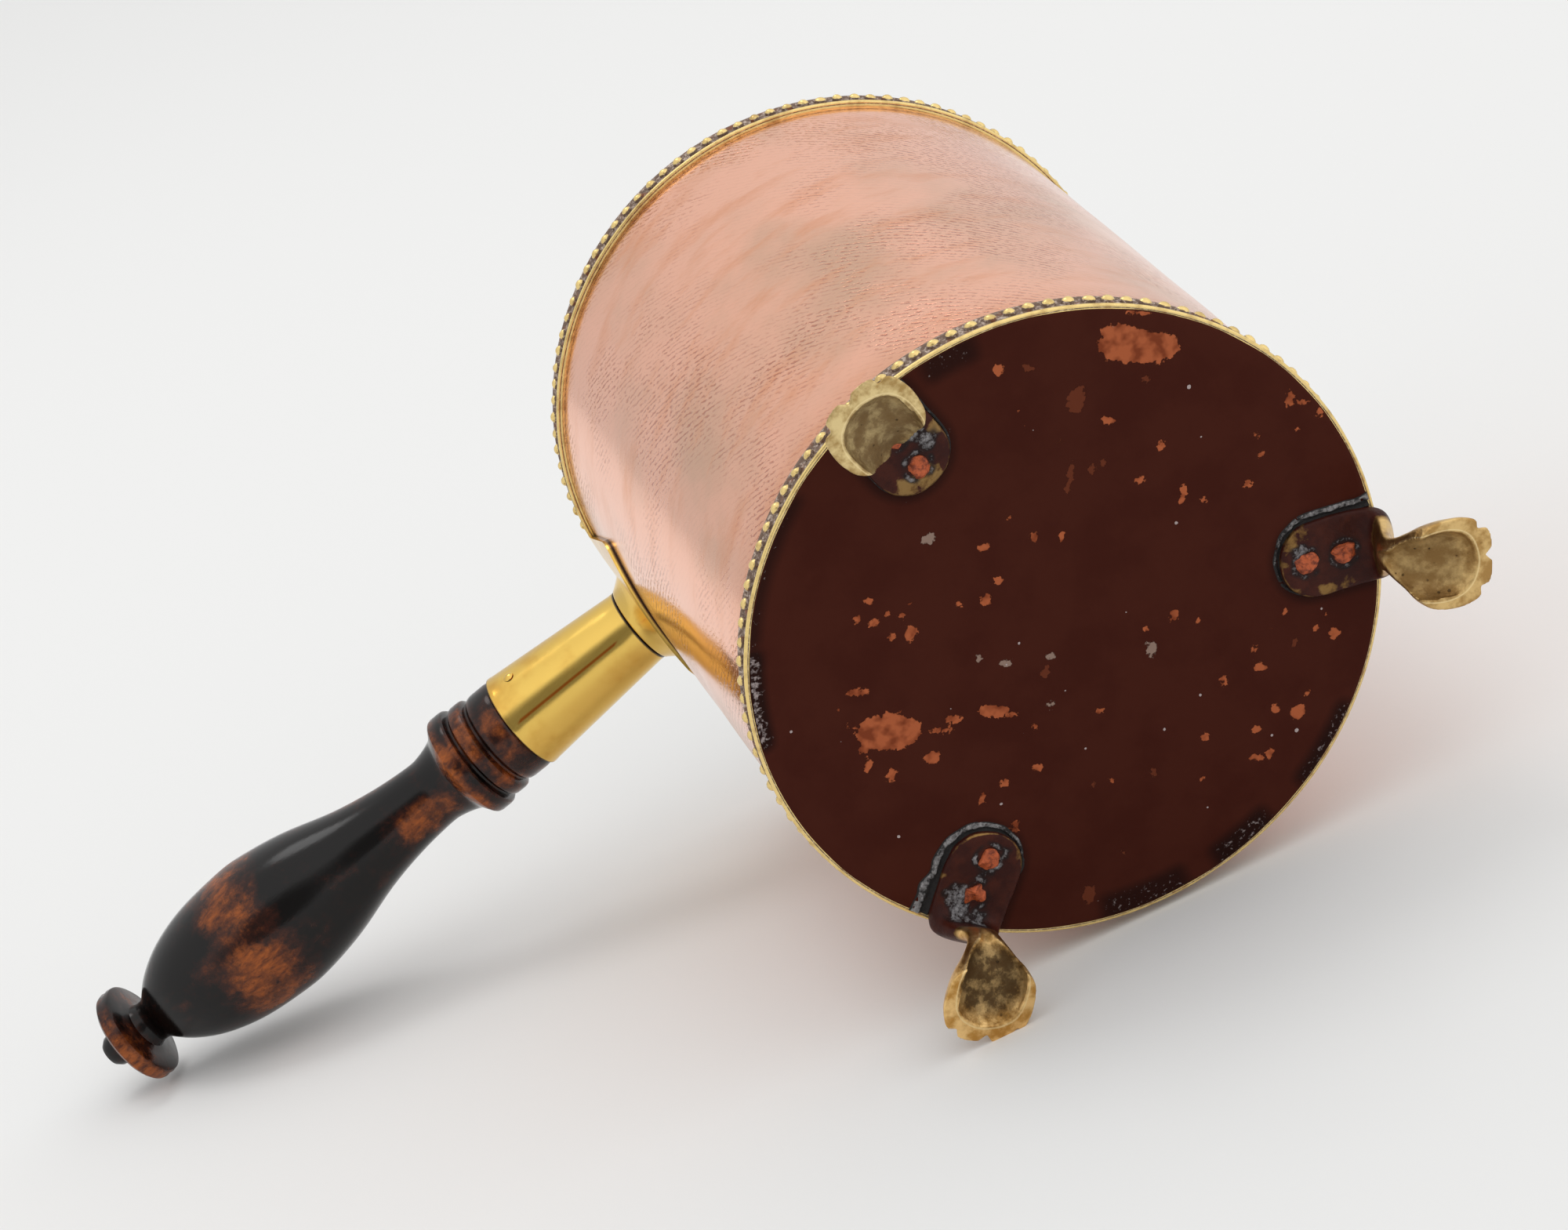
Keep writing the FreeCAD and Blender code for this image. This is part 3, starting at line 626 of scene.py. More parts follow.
def sheet_brass():
    """Rolled brass sheet, polished: a clear yellow mirror with faint lengthwise drawing marks."""
    material, put, place = start_material("polished_brass_sheet")
    cast = put("TexNoise", {
        "Vector": place, "Scale": 1 / (13 * MM), "Detail": 4.0, "Roughness": 0.55,
    })
    tint = lay(put, linear("#EBC465"), linear("#D6A44A"), cast, 0.45, 0.72, soft=True)
    # Below zero a brazed seam shows orange; above zero dirt in a joint shows nearly black.
    joint = put("Attribute", out="Fac", attribute_name="joint")
    tint = lay(put, tint, linear("#D67A2C"), joint, -0.3, -0.8)
    dirt = put("MapRange", {"Value": joint, "From Min": 0.35, "From Max": 0.8})
    tint = put("Mix", {0: dirt, 6: tint, 7: linear("#2C1C10")}, 2, data_type="RGBA")
    metal = put("MapRange", {"Value": dirt, "To Min": 1.0, "To Max": 0.2})
    drawn = put("Mapping", {"Vector": place, "Scale": (0.25, 1.6, 1.6)})
    drawn = put("TexNoise", {"Vector": drawn, "Scale": 1 / (1.6 * MM), "Detail": 4.0})
    rough = put("MapRange", {
        "Value": drawn, "From Min": 0.35, "From Max": 0.65, "To Min": 0.14, "To Max": 0.2,
    })
    normal = put("Bump", {"Height": drawn, "Distance": 0.008 * MM})
    return end_material(material, put("BsdfPrincipled", {
        "Base Color": tint, "Metallic": metal, "Roughness": rough, "Normal": normal,
    }))


def lacquered_wood():
    """Turned hardwood under brown-black lacquer, worn through to the wood where it is held."""
    material, put, place = start_material("lacquered_turned_hardwood")
    wear = put("Attribute", out="Fac", attribute_name="wear")
    grain = put("Mapping", {"Vector": place, "Scale": (0.35, 1, 1)})
    grain = put("TexNoise", {
        "Vector": grain, "Scale": 1 / (1.3 * MM), "Detail": 5.0, "Roughness": 0.62,
    })
    patch = put("TexNoise", {
        "Vector": place, "Scale": 1 / (6.5 * MM), "Detail": 5.0, "Roughness": 0.68,
    })
    edge = ragged(put, wear, (patch, 2.2), (grain, 0.7))
    worn = put("MapRange", {
        "Value": edge, "From Min": 1.9, "From Max": 2.5,
    }, interpolation_type="SMOOTHSTEP")
    wood = lay(put, colours().worn_wood, linear("#4A2110"), grain, 0.38, 0.66)
    tint = lay(put, colours().lacquer, linear("#34170E"), edge, 1.5, 2.1, soft=True)
    tint = put("Mix", {0: worn, 6: tint, 7: wood}, 2, data_type="RGBA")
    rough = put("MapRange", {"Value": worn, "To Min": 0.15, "To Max": 0.34})
    normal = put("Bump", {"Height": grain, "Distance": 0.03 * MM})
    return end_material(material, put("BsdfPrincipled", {
        "Base Color": tint, "Roughness": rough, "Specular IOR Level": 0.3, "Normal": normal,
    }))


def crust_and_gap_shade():
    """Old solder and scale crusted beside the tongues: near-black painted shade in the gap by the
    tongue, then crumbled grey-white scale.
    """
    material, put, place = start_material("scale_crust_with_painted_gap_shade")
    outward = put("Attribute", out="Fac", attribute_name="crust_and_shade")
    fine = put("TexNoise", {
        "Vector": place, "Scale": 1 / (0.8 * MM), "Detail": 6.0, "Roughness": 0.72,
    })
    broad = put("TexNoise", {"Vector": place, "Scale": 1 / (2.4 * MM), "Detail": 3.0})
    crumbs_and_gap_shade = ragged(put, fine, (outward, 0.42), (broad, 0.5))
    # Near black by the tongue is painted shade in the gap; grey-white further out is scale.
    tint = lay(put, linear("#120D0C"), linear("#A9A6A6"), crumbs_and_gap_shade, 1.04, 1.36)
    normal = put("Bump", {"Height": fine, "Distance": 0.5 * MM})
    return end_material(material, put("BsdfPrincipled", {
        "Base Color": tint, "Metallic": 0.1, "Roughness": 0.5, "Normal": normal,
    }))


def floor_paper():
    """Matt white paper sweep; seen from behind it is clear, so it never hides the pan."""
    material, put, place = start_material("matt_white_paper")
    fibre = put("TexNoise", {"Vector": place, "Scale": 1 / (0.9 * MM), "Detail": 3.0})
    normal = put("Bump", {"Height": fibre, "Distance": 0.02 * MM})
    paper = put("BsdfPrincipled", {
        "Base Color": bpy.context.scene.saucepan_stage.floor, "Roughness": 0.9,
        "Specular IOR Level": 0.1, "Normal": normal,
    })
    behind = put("NewGeometry", out="Backfacing")
    clear = put("BsdfTransparent")
    return end_material(material, put("MixShader", {0: behind, 1: paper, 2: clear}))


# ---------------------------------------------------------------- pieces


class MakeCopperBody(bpy.types.Operator):
    """Copper wall with a soft rim, a tinned inside and slight unevenness"""

    bl_idname = "saucepan.copper_body"
    bl_label = "Copper body"
    bl_options = {"REGISTER", "UNDO"}

    def execute(self, context):
        wall = sizes().wall / MM
        top = sizes().height / MM
        low = sizes().collar / MM
        base = wall_radius(0)
        mouth = wall_radius(top)
        rows = 22
        outside = [(base - wall, 0), (base, 0), *between((base, low), (mouth, top - low), rows)]
        rim = [
            (mouth, top - 0.5), (mouth - 0.2, top - 0.12), (mouth - 0.6, top),
            (mouth - wall + 0.15, top - 0.1), (mouth - wall, top - 0.4),
        ]
        inside = between((mouth - wall, top - low), (base - wall, low), rows)
        piece = turn("copper_wall", [*outside, *rim, *inside, (base - wall, 0)], sizes().steps)
        for vertex in piece.data.vertices:
            height = vertex.co.z / MM
            calm = ease(height, low, low + 12) * (1 - ease(height, top - low - 12, top - low))
            spot = Vector((vertex.co.x, vertex.co.y, vertex.co.z * 1.4)) / (22 * MM)
            push = sizes().dents * calm * noise.noise(spot)
            vertex.co += outward_from_axis(vertex.co) * push
        finish_piece(piece, ["body_wall"], [polished_copper(), wiped_tin()])
        for face in piece.data.polygons:
            if face.normal.dot(outward_from_axis(face.center)) < -0.2:
                face.material_index = 1
        return {"FINISHED"}


def set_values(piece, name, values):
    """Stores one number for each vertex, for the piece's material to read."""
    layer = piece.data.attributes.new(name, "FLOAT", "POINT")
    layer.data.foreach_set("value", values)


# Direction of the brush strokes under the base, which its chips follow.
STROKE = math.radians(-133)
# Chips in the base's paint, from splashes to pinholes: x, y, half length and half width in
# millimetres. They show bare metal at 0, brown metal at 0.5 and grey metal at 1.
CHIPS = {
    0.0: [
        (37, 10, 6.5, 3.8), (41, 16, 1.3, 0.6), (44, 8, 0.8, 1.5), (42, 3, 1, 1.5),
        (34.5, 0, 1.5, 1.5), (30, 3, 2.5, 0.6), (42.5, 11, 1.5, 1.2), (36, 20.5, 2.5, 0.9),
        (40.5, 20.5, 0.7, 0.6), (32.5, 11.5, 0.7, 0.7), (27, 3, 2, 1), (20.5, -1.5, 3.4, 1.3),
        (19, -4.5, 1.8, 0.7), (17, -10, 0.7, 0.7), (22, -17, 1.2, 0.7), (33, -13.5, 0.7, 1.6),
        (28, -14.5, 1.2, 0.7), (32.5, -23, 1.1, 1.5), (21.5, 22, 1.4, 1.5), (24.5, 24, 1, 0.7),
        (25, 28.5, 1, 0.9), (26.5, 31.5, 0.8, 1.4), (22, 28, 0.7, 0.7), (20.5, 26, 0.8, 0.7),
        (23, 32.5, 1, 0.8), (18, 26.5, 0.7, 0.7), (7.5, 16.5, 1.2, 1.2), (11.5, 19.5, 0.6, 0.7),
        (1.5, 24.5, 1.2, 1.1), (-6.5, 19, 1, 1.2), (-5.5, 25, 0.6, 0.6), (-10, 15, 0.5, 1),
        (3.5, 17.5, 0.8, 0.6), (-22, 48.5, 1, 1.2), (-18.5, 36, 0.6, 0.6), (-19.5, 40, 0.6, 0.6),
        (-43, 33, 8.3, 3.3), (-42, 37.5, 3.7, 2), (-47, 38, 2.7, 0.6), (-30.5, 26, 1.5, 0.7),
        (-34.5, 15, 0.8, 1), (-27.5, 13, 1, 0.7), (-31.5, 4.5, 0.7, 2.4), (-33.5, 0.5, 0.6, 0.6),
        (-41.5, -3, 0.9, 0.9), (-48.5, 3, 0.7, 0.7), (-47, -0.5, 0.9, 0.9), (-57.5, 4, 1.2, 1.8),
        (-59, 1.5, 1.4, 0.7), (-54.5, -1.5, 0.6, 0.6), (-60, -2.5, 0.7, 1), (-15.5, -13, 1.1, 1.6),
        (-10, -11, 0.6, 0.6), (-18, -17.5, 0.6, 0.6), (-31, -28.5, 0.6, 0.6),
        (-27.5, -29.5, 0.6, 0.6), (-33.5, -36, 0.7, 0.7), (-37, -35.5, 0.7, 0.7),
        (-35.5, -39.5, 1.3, 1.3), (-22, -30.5, 0.5, 1.1), (-21, -34, 1.6, 0.8),
        (-14, -30.5, 0.8, 1.1), (6.5, -17, 1, 0.7), (-4.5, -37, 1.1, 1), (1, -43, 0.7, 0.8),
        (13.5, -30, 0.9, 0.7), (-9, -48, 1.6, 0.8), (-11.5, -49.5, 1.1, 1), (-12.5, -43.5, 1, 0.7),
        (-20.5, -47, 1.6, 1.6), (-18, -43, 0.8, 1), (-24.5, -45, 0.8, 0.7),
    ],
    0.5: [
        (8.5, -3, 0.9, 1.4), (-28.5, 33.5, 2, 2.8), (-26, 44.5, 1.5, 0.7), (-18.5, 23, 0.8, 3),
        (-22.5, 21.5, 1, 1.2), (-21.5, 29.5, 0.8, 0.8), (-40.5, 27, 1, 0.8),
        (-24.5, 20.5, 0.9, 0.9), (-29, -35, 0.8, 1.1), (16.5, -28, 0.7, 0.7),
        (21.5, -43.5, 0.8, 0.8), (7, -35, 1, 1.1), (31.5, -45, 1.3, 2),
    ],
    1.0: [
        (12, -9, 0.9, 0.9), (6, -1.5, 0.9, 0.7), (13, 4, 1.4, 0.7), (16, 8.5, 0.6, 0.7),
        (7.5, 33.5, 1.6, 1.2), (-8.5, -15, 1.4, 1.6),
    ],
}
# Crust along the rim: first and last degree, inner radius in millimetres, and strength.
RIM_CRUST = [
    (24, 43, 57.5, 1.0), (43, 72, 58, 0.6), (101, 112, 55.5, 0.6), (-75, -57, 55, 0.65),
    (-94, -80, 55.5, 0.7), (-119, -101, 57, 0.7),
]


def chip_values(piece):
    """For each vertex, millimetres to the nearest chip's edge, below 0 inside it, and its kind."""
    farthest = 3.0
    count = len(piece.data.vertices)
    below = kdtree.KDTree(count)
    for vertex in piece.data.vertices:
        if vertex.co.z < 0:
            below.insert(Vector((vertex.co.x, vertex.co.y, 0)) / MM, vertex.index)
    below.balance()
    reach, kinds = [farthest] * count, [0.0] * count
    for kind, chips in CHIPS.items():
        for x, y, long, wide in chips:
            for spot, index, _ in below.find_range((x, y, 0), max(long, wide) + farthest):
                turned = Matrix.Rotation(-STROKE, 2) @ Vector((spot.x - x, spot.y - y))
                share = Vector((turned.x / long, turned.y / wide)).length
                slope = Vector((turned.x / long ** 2, turned.y / wide ** 2)).length
                gap = share * (share - 1) / slope if slope > 0 else -min(long, wide)
                if gap < reach[index]:
                    reach[index], kinds[index] = gap, kind
    return reach, kinds


def base_crust_and_tongue_shade(point):
    """Strength at a point under the base: crust along the rim, and crust with painted shade round
    the tongues.
    """
    degrees = math.degrees(math.atan2(point.y, point.x))
    crust_and_shade = 0.0
    for first, last, low, strength in RIM_CRUST:
        window = ease(degrees, first - 2, first + 2) * (1 - ease(degrees, last - 2, last + 2))
        crust_and_shade = max(crust_and_shade, strength * window * ease(point.length, low - 1, low + 2.5))
    # Round each tongue: some scale flecks, and painted shade that darkens the paint.
    for foot_degrees in FOOT_NAMES.values():
        near = Matrix.Rotation(-math.radians(foot_degrees), 2) @ point
        if near.x > 36:
            gap = Vector((max(TONGUE_BEND - near.x, 0.0), near.y)).length - TONGUE_HALF
            crust_and_shade = max(crust_and_shade, 0.5 * (1 - ease(gap, 0.4, 3.2)))
    return crust_and_shade


class MakePaintedBase(bpy.types.Operator):
    """Base plate, painted below and tinned above, with a solder fillet inside"""

    bl_idname = "saucepan.painted_base"
    bl_label = "Painted base"
    bl_options = {"REGISTER", "UNDO"}

    def execute(self, context):
        inner = (sizes().base_radius - sizes().wall) / MM
        edge = sizes().base_radius / MM + 0.4
        thick = sizes().base / MM
        profile = [
            *between((0, -0.12), (edge - 0.3, -0.12), 80), (edge, 0.02), (inner, 0.03),
            (inner - 0.02, thick + 1.8), (inner - 0.5, thick + 0.5), (inner - 1.8, thick),
            (0, thick),
        ]
        piece = turn("painted_base", profile, sizes().steps * 5 // 2)
        reach, kinds = chip_values(piece)
        crust_and_shade = [0.0] * len(reach)
        for vertex in piece.data.vertices:
            if vertex.co.z < 0:
                crust_and_shade[vertex.index] = base_crust_and_tongue_shade(vertex.co.xy / MM)
                if vertex.co.xy.length / MM < edge - 0.5:
                    vertex.co.z += 0.06 * MM * noise.noise(vertex.co / (18 * MM))
        set_values(piece, "chip_reach", reach)
        set_values(piece, "chip_kind", kinds)
        set_values(piece, "rim_crust_and_tongue_shade", crust_and_shade)
        tin = bpy.data.materials["wiped_tin_lining"]
        finish_piece(piece, ["base_plate"], [base_paint(), tin])
        for face in piece.data.polygons:
            if face.center.z > thick * 0.5 * MM:
                face.material_index = 1
        return {"FINISHED"}


# Section of a border, as (proud of the wall, height): a fillet with a groove at its foot, a
# thin fillet, the channel that the beads stand in, and a fillet at the top.
STRIP_PROFILE = [
    (0.0, 0.0), (0.42, 0.0), (0.5, 0.04), (0.6, 0.04), (0.68, 0.0), (0.95, 0.04), (1.2, 0.22),
    (1.24, 0.45), (1.14, 0.75), (0.9, 0.95), (0.62, 1.05), (0.6, 1.2), (0.74, 1.42), (0.78, 1.6),
    (0.7, 1.8), (0.56, 1.95), (0.55, 2.4), (0.6, 3.1), (0.56, 4.0), (0.52, 4.6), (0.66, 4.8),
    (0.84, 5.05), (0.9, 5.4), (0.84, 5.8), (0.7, 6.15), (0.5, 6.32), (0.0, 6.4), (0.0, 0.0),
]
# A bead's half sizes, outwards, along and up, and the place of its middle on the strip.
BEAD_SIZES = (1.15, 1.3, 1.05)
BEAD_PROUD = 0.6
BEAD_HEIGHT = 3.6
BEAD_LEAN = math.radians(-24)


def beaded_border(name, node, seat_mm, low_mm, gap, material):
    """Moulded strip wrapped round the wall, with a row of pressed beads."""
    sweep = math.tau - gap
    profile = [(seat_mm + proud, low_mm + height) for proud, height in STRIP_PROFILE]
    strip = turn(name, profile, sizes().steps * 2, sweep=sweep, start=-gap / 2)
    count = round(sweep * (seat_mm * MM + BEAD_PROUD * MM) / sizes().bead_pitch)
    step = sweep / count
    turned = Matrix.Rotation((gap + step) / 2, 4, "Z")
    spot = Matrix.Translation(Vector((seat_mm + BEAD_PROUD, 0, low_mm + BEAD_HEIGHT)) * MM)
    lean = Matrix.Rotation(BEAD_LEAN, 4, "X")
    beads = ball(name + "_beads", 16, 10, BEAD_SIZES, turned @ spot @ lean)
    bpy.ops.object.empty_add(rotation=(0, 0, step))
    pivot = bpy.context.object
    modify(
        beads, "ARRAY", count=count, use_relative_offset=False, use_object_offset=True,
        offset_object=pivot,
    )
    bpy.data.objects.remove(pivot)
    for vertex in beads.data.vertices:
        vertex.co += noise.noise_vector(vertex.co / (2.6 * MM)) * 0.22 * MM
    border = join([strip, beads], name)
    for vertex in border.data.vertices:
        vertex.co += noise.noise_vector(vertex.co / (9 * MM)) * 0.08 * MM
    rubbed_and_reflection_line = []
    for vertex in border.data.vertices:
        proud = vertex.co.xy.length / MM - seat_mm
        up = vertex.co.z / MM - low_mm
        # A painted dark reflection line in the shallow groove under the lower fillet.
        dark_reflection_line = math.exp(-((proud - 0.55) / 0.09) ** 2) * (1 - ease(up, 0.3, 0.5))
        fillet = (1 - ease(up, 0.85, 1.15)) * (1 - 0.75 * dark_reflection_line)
        rubbed_and_reflection_line.append(max(ease(proud, 0.75, 1.3), fillet))
    set_values(border, "rubbed_and_reflection_line", rubbed_and_reflection_line)
    return finish_piece(border, [node], [material], sharp=50.0)


class MakeBrassBorders(bpy.types.Operator):
    """Beaded brass borders round the mouth and the base"""

    bl_idname = "saucepan.brass_borders"
    bl_label = "Brass borders"
    bl_options = {"REGISTER", "UNDO"}

    def execute(self, context):
        base = sizes().base_radius / MM
        mouth = sizes().mouth_radius / MM
        low = (sizes().height - sizes().collar) / MM
        # The mouth's border stops on each side of the shield plate.
        gap = 2 * math.asin(SHIELD[-1][1] / (mouth + 0.6))
        brass = border_brass()
        beaded_border("base_beading", "base_border", base, 0.0, 0.0, brass)
        beaded_border("mouth_beading", "mouth_border", mouth, low, gap, brass)
        return {"FINISHED"}


# The casting from the tongue's round end to the shell's tip. Each row is an oval section:
# inner edge (out, up), outer edge (out, up), half width and squareness.
LEG = [
    (41.25, -1.0, 41.25, -0.8, 0.3, 3.0), (41.7, -1.55, 41.7, -0.1, 2.7, 4.0),
    (43.0, -1.75, 43.0, 0.0, 5.0, 4.5), (45.4, -1.85, 45.4, 0.0, 6.9, 5.0),
    (48.8, -1.9, 48.8, 0.0, 7.6, 5.0), (53.4, -1.9, 53.6, 0.0, 7.6, 5.0),
    (56.6, -2.2, 58.2, 0.0, 7.5, 4.4), (58.1, -3.1, 61.4, -0.4, 7.2, 3.6),
    (58.6, -4.6, 63.2, -2.3, 6.6, 3.0), (58.1, -6.8, 62.5, -5.2, 5.2, 2.6),
    (57.1, -9.4, 60.5, -8.6, 3.8, 2.4), (56.8, -11.6, 59.8, -11.3, 3.4, 2.3),
    (57.2, -14.0, 60.9, -13.2, 4.1, 2.2), (58.0, -16.8, 62.9, -14.8, 5.6, 2.2),
    (58.9, -20.0, 65.4, -16.0, 7.4, 2.3), (60.8, -22.8, 68.0, -16.9, 8.5, 2.4),
    (65.0, -24.0, 70.6, -17.9, 8.8, 2.5), (69.4, -24.0, 72.8, -19.1, 8.0, 2.5),
    (73.0, -22.8, 74.4, -20.4, 6.0, 2.4), (74.9, -21.8, 75.1, -21.2, 3.2, 2.2),
]
# The hollow, cut out of the casting in the same way.
BOWL = [
    (56.7, -9.8, 57.1, -9.8, 0.3, 2.0), (55.9, -11.8, 57.5, -11.6, 0.9, 2.0),
    (55.4, -14.0, 58.5, -13.4, 1.7, 2.0), (55.4, -16.8, 60.2, -14.8, 3.3, 2.1),
    (56.6, -21.0, 63.0, -16.6, 5.3, 2.2), (60.2, -25.0, 66.7, -17.5, 6.5, 2.3),
    (65.4, -26.0, 69.4, -18.7, 6.3, 2.3), (69.4, -25.0, 71.0, -20.2, 4.5, 2.2),
    (71.4, -23.2, 71.8, -21.5, 1.6, 2.0),
]
# The shell's flutes fan out from here, and its edge is notched at these degrees.
FAN_CENTRE = 66.0
NOTCHES = (-47.0, -5.0, 40.0)
NOTCH_WIDTH = 5.6
# Round spots on each tongue where the paint has worn through: out, across and radius.
TONGUE_WEAR = {
    "foot_side": [(43.4, 0.4, 3.4), (44.6, -4.2, 2.6), (50.0, 6.8, 1.8)],
    "foot_far": [
        (43.2, -4.4, 2.6), (42.0, -1.4, 1.8), (46.6, -6.0, 2.0), (50.6, 6.4, 2.4), (53.6, 6.2, 2.2),
        (43.6, 5.2, 1.6),
    ],
    "foot_near": [(43.6, -5.6, 1.6), (51.0, 7.2, 1.2)],
}
# Depth at which the paint starts to give out on each leg.
PAINT_ENDS = {"foot_side": 3.2, "foot_far": 2.0, "foot_near": 5.4}
# Spots of soldering scale, in the same way as the wear.
TONGUE_CRUST = {
    "foot_side": [(52.5, 3.6, 2.4), (57.2, 1.0, 3.2), (49.0, 4.4, 2.0)],
    "foot_far": [(45.4, -2.6, 1.6)],
    "foot_near": [
        (50.0, -0.4, 1.6), (54.8, 3.6, 2.6), (57.4, 2.4, 2.4), (58.6, -1.4, 2.2), (45.2, -3.0, 1.2),
    ],
}


def sleeve(name, rows, along, around):
    """Closed sleeve through oval sections."""
    piece = grid(name, along, around)
    fine = curve_through(rows, 6)
    for vertex in piece.data.vertices:
        place = (vertex.co.x + 1) / 2 * (len(fine) - 1)
        first = min(int(place), len(fine) - 2)
        in_x, in_z, out_x, out_z, half, square = [
            a + (b - a) * (place - first) for a, b in zip(fine[first], fine[first + 1])
        ]
        turned = math.pi * (vertex.co.y + 1)
        side, lift = [
            math.copysign(abs(reach) ** (2 / square), reach)
            for reach in (math.cos(turned), math.sin(turned))
        ]
        x = (in_x + out_x) / 2 + (out_x - in_x) / 2 * lift
        z = (in_z + out_z) / 2 + (out_z - in_z) / 2 * lift
        vertex.co = Vector((x, half * side, z)) * MM
    bpy.ops.object.mode_set(mode="EDIT")
    close_mesh(0.01)
    return piece


def scallop(point):
    """Draws the shell's edge into lobes and its back into flutes."""
    reach = Vector((point.x - FAN_CENTRE, point.y))
    share = ease(-point.z, 13.0, 18.0)
    if reach.length < 1.0 or share == 0:
        return point
    angle = math.degrees(math.atan2(reach.y, reach.x))
    cut = math.exp(-(min(abs(angle - notch) for notch in NOTCHES) / NOTCH_WIDTH) ** 2)
    point.z -= 0.8 * cut * share * ease(reach.length, 2.5, 7.0)
    reach *= 1 - 0.75 * cut * share * ease(reach.length, 4.0, 8.0) / reach.length
    point.x = FAN_CENTRE + reach.x
    point.y = reach.y
    return point


def cast_foot():
    """One foot as cast: a tongue, a knee, a waisted leg and a hollow shell, at angle 0."""
    foot = sleeve("casting", LEG, 150, 72)
    for vertex in foot.data.vertices:
        vertex.co = scallop(vertex.co / MM) * MM
    bowl = sleeve("bowl", BOWL, 60, 48)
    modify(foot, "BOOLEAN", operation="DIFFERENCE", object=bowl, solver="EXACT")
    bpy.ops.object.mode_set(mode="EDIT")
    bpy.ops.mesh.select_all(action="SELECT")
    sole = -sizes().foot_drop
    bpy.ops.mesh.bisect(plane_co=(0, 0, sole), plane_no=(0, 0, 1), use_fill=True, clear_inner=True)
    bpy.ops.object.mode_set(mode="OBJECT")
    modify(foot, "REMESH", mode="VOXEL", voxel_size=0.27 * MM, adaptivity=0.0)
    modify(foot, "SMOOTH", factor=0.5, iterations=4)
    depths = bvhtree.BVHTree.FromObject(bowl, bpy.context.evaluated_depsgraph_get())
    hollow = []
    for vertex in foot.data.vertices:
        inside = 1 - ease(depths.find_nearest(vertex.co)[3] / MM, 0.12, 0.7)
        outer = ease((vertex.co / MM - Vector((63.5, 0, -18))).length, 4.5, 8.8)
        hollow.append(inside * (1 - 0.45 * outer))
    set_values(foot, "hollow", hollow)
    bpy.data.objects.remove(bowl)
    return foot


def spots(table, point, soft):
    """Nearness, from 0 to 1, to the closest of some round spots (out, across, radius)."""
    return max((
        1 - ease((point - Vector((x, y))).length, radius - soft, radius + soft)
        for x, y, radius in table
    ), default=0.0)


def tongue_finish(name, point):
    """How much paint, and how much soldering scale, lies at a point of one foot."""
    depth, degrees = -point.z, FOOT_NAMES[name]
    strayed = point.xy + noise.noise_vector(point / 1.8 + Vector((degrees, 0, 0))).xy * 1.5
    bend = Vector((TONGUE_BEND, 0))
    edge = TONGUE_HALF - (abs(point.y) if point.x > bend.x else (point.xy - bend).length)
    line = (1 - ease(edge, 0.25, 0.7)) * ease(depth, 0.9, 1.4) * (1 - ease(point.x, 45.0, 54.0))
    bare = max(spots(TONGUE_WEAR[name], strayed, 1.4), 0.95 * line)
    end = PAINT_ENDS[name]
    paint = (1 - ease(depth, end, end + 4.3)) * (1 - 0.62 * bare)
    # Scale rings each rivet, 2.7 mm from its middle.
    ring = max(
        math.exp(-(((point.xy - Vector((radius, 0))).length - 2.7) / 0.75) ** 2)
        for radius in RIVET_RADII
    )
    ring *= 0.55 + 0.9 * noise.noise(Vector((point.x / 2.2, point.y / 2.2, degrees)))
    ring = max(ring, 0.9 * spots(TONGUE_CRUST[name], strayed, 1.4), 0.0)
    return paint, ring * (1 - ease(depth, 4.0, 6.5)) * ease(depth, 0.6, 1.4)


def set_by_hand(name, point):
    """Turns and shifts one foot's shell a little, as no two castings sit alike."""
    share = ease(-point.z, 1.5, 12.0)
    twist = Matrix.Rotation(math.radians(PAD_TWISTS[name]) * share, 2)
    turned = twist @ Vector((point.x - SHELL_CENTRE, point.y))
    point.x, point.y = SHELL_CENTRE + turned.x, turned.y + PAD_SHIFTS[name] * share
    point += noise.noise_vector(point / 3.5 + Vector((FOOT_NAMES[name], 0, 0))) * 0.12
    if point.x < 57.5:
        point.z = min(point.z, 0.0)
    point.z = max(point.z, -sizes().foot_drop / MM)
    return point


class MakeShellFeet(bpy.types.Operator):
    """Three cast feet, each a riveted tongue, a waisted leg and a hollow scallop shell"""

    bl_idname = "saucepan.shell_feet"
    bl_label = "Shell feet"
    bl_options = {"REGISTER", "UNDO"}

    def execute(self, context):
        finishes = {
            "foot_side": cast_brass("sand_cast_brass_pale", "#E4CC94", "#AC8C56", "#6E5638", 0.85),
            "foot_far": cast_brass("sand_cast_brass_olive", "#DDBB7E", "#AE8850", "#6A5030", 0.65),
            "foot_near": cast_brass("sand_cast_brass_gold", "#F2CA88", "#BE8C46", "#3C2C1C", 0.92),
        }
        pattern = cast_foot()
        for name, degrees in FOOT_NAMES.items():
            pick(pattern)
            bpy.ops.object.duplicate()
            foot = name_piece(name + "_casting")
            finish = [tongue_finish(name, vertex.co / MM) for vertex in foot.data.vertices]
            for layer, values in zip(("paint", "ring"), zip(*finish)):
                set_values(foot, layer, values)
            for vertex in foot.data.vertices:
                vertex.co = set_by_hand(name, vertex.co / MM) * MM
            place_piece(foot, turned_about_z(degrees))
            finish_piece(foot, [name], [finishes[name]], sharp=60.0)
        bpy.data.objects.remove(pattern)
        return {"FINISHED"}


# A rivet head's half sizes, outwards, across and up, and the heights of its two ends.
RIVET_SIZES = (2.15, 2.0, 1.0)
RIVET_ENDS = (-1.85, 1.5)


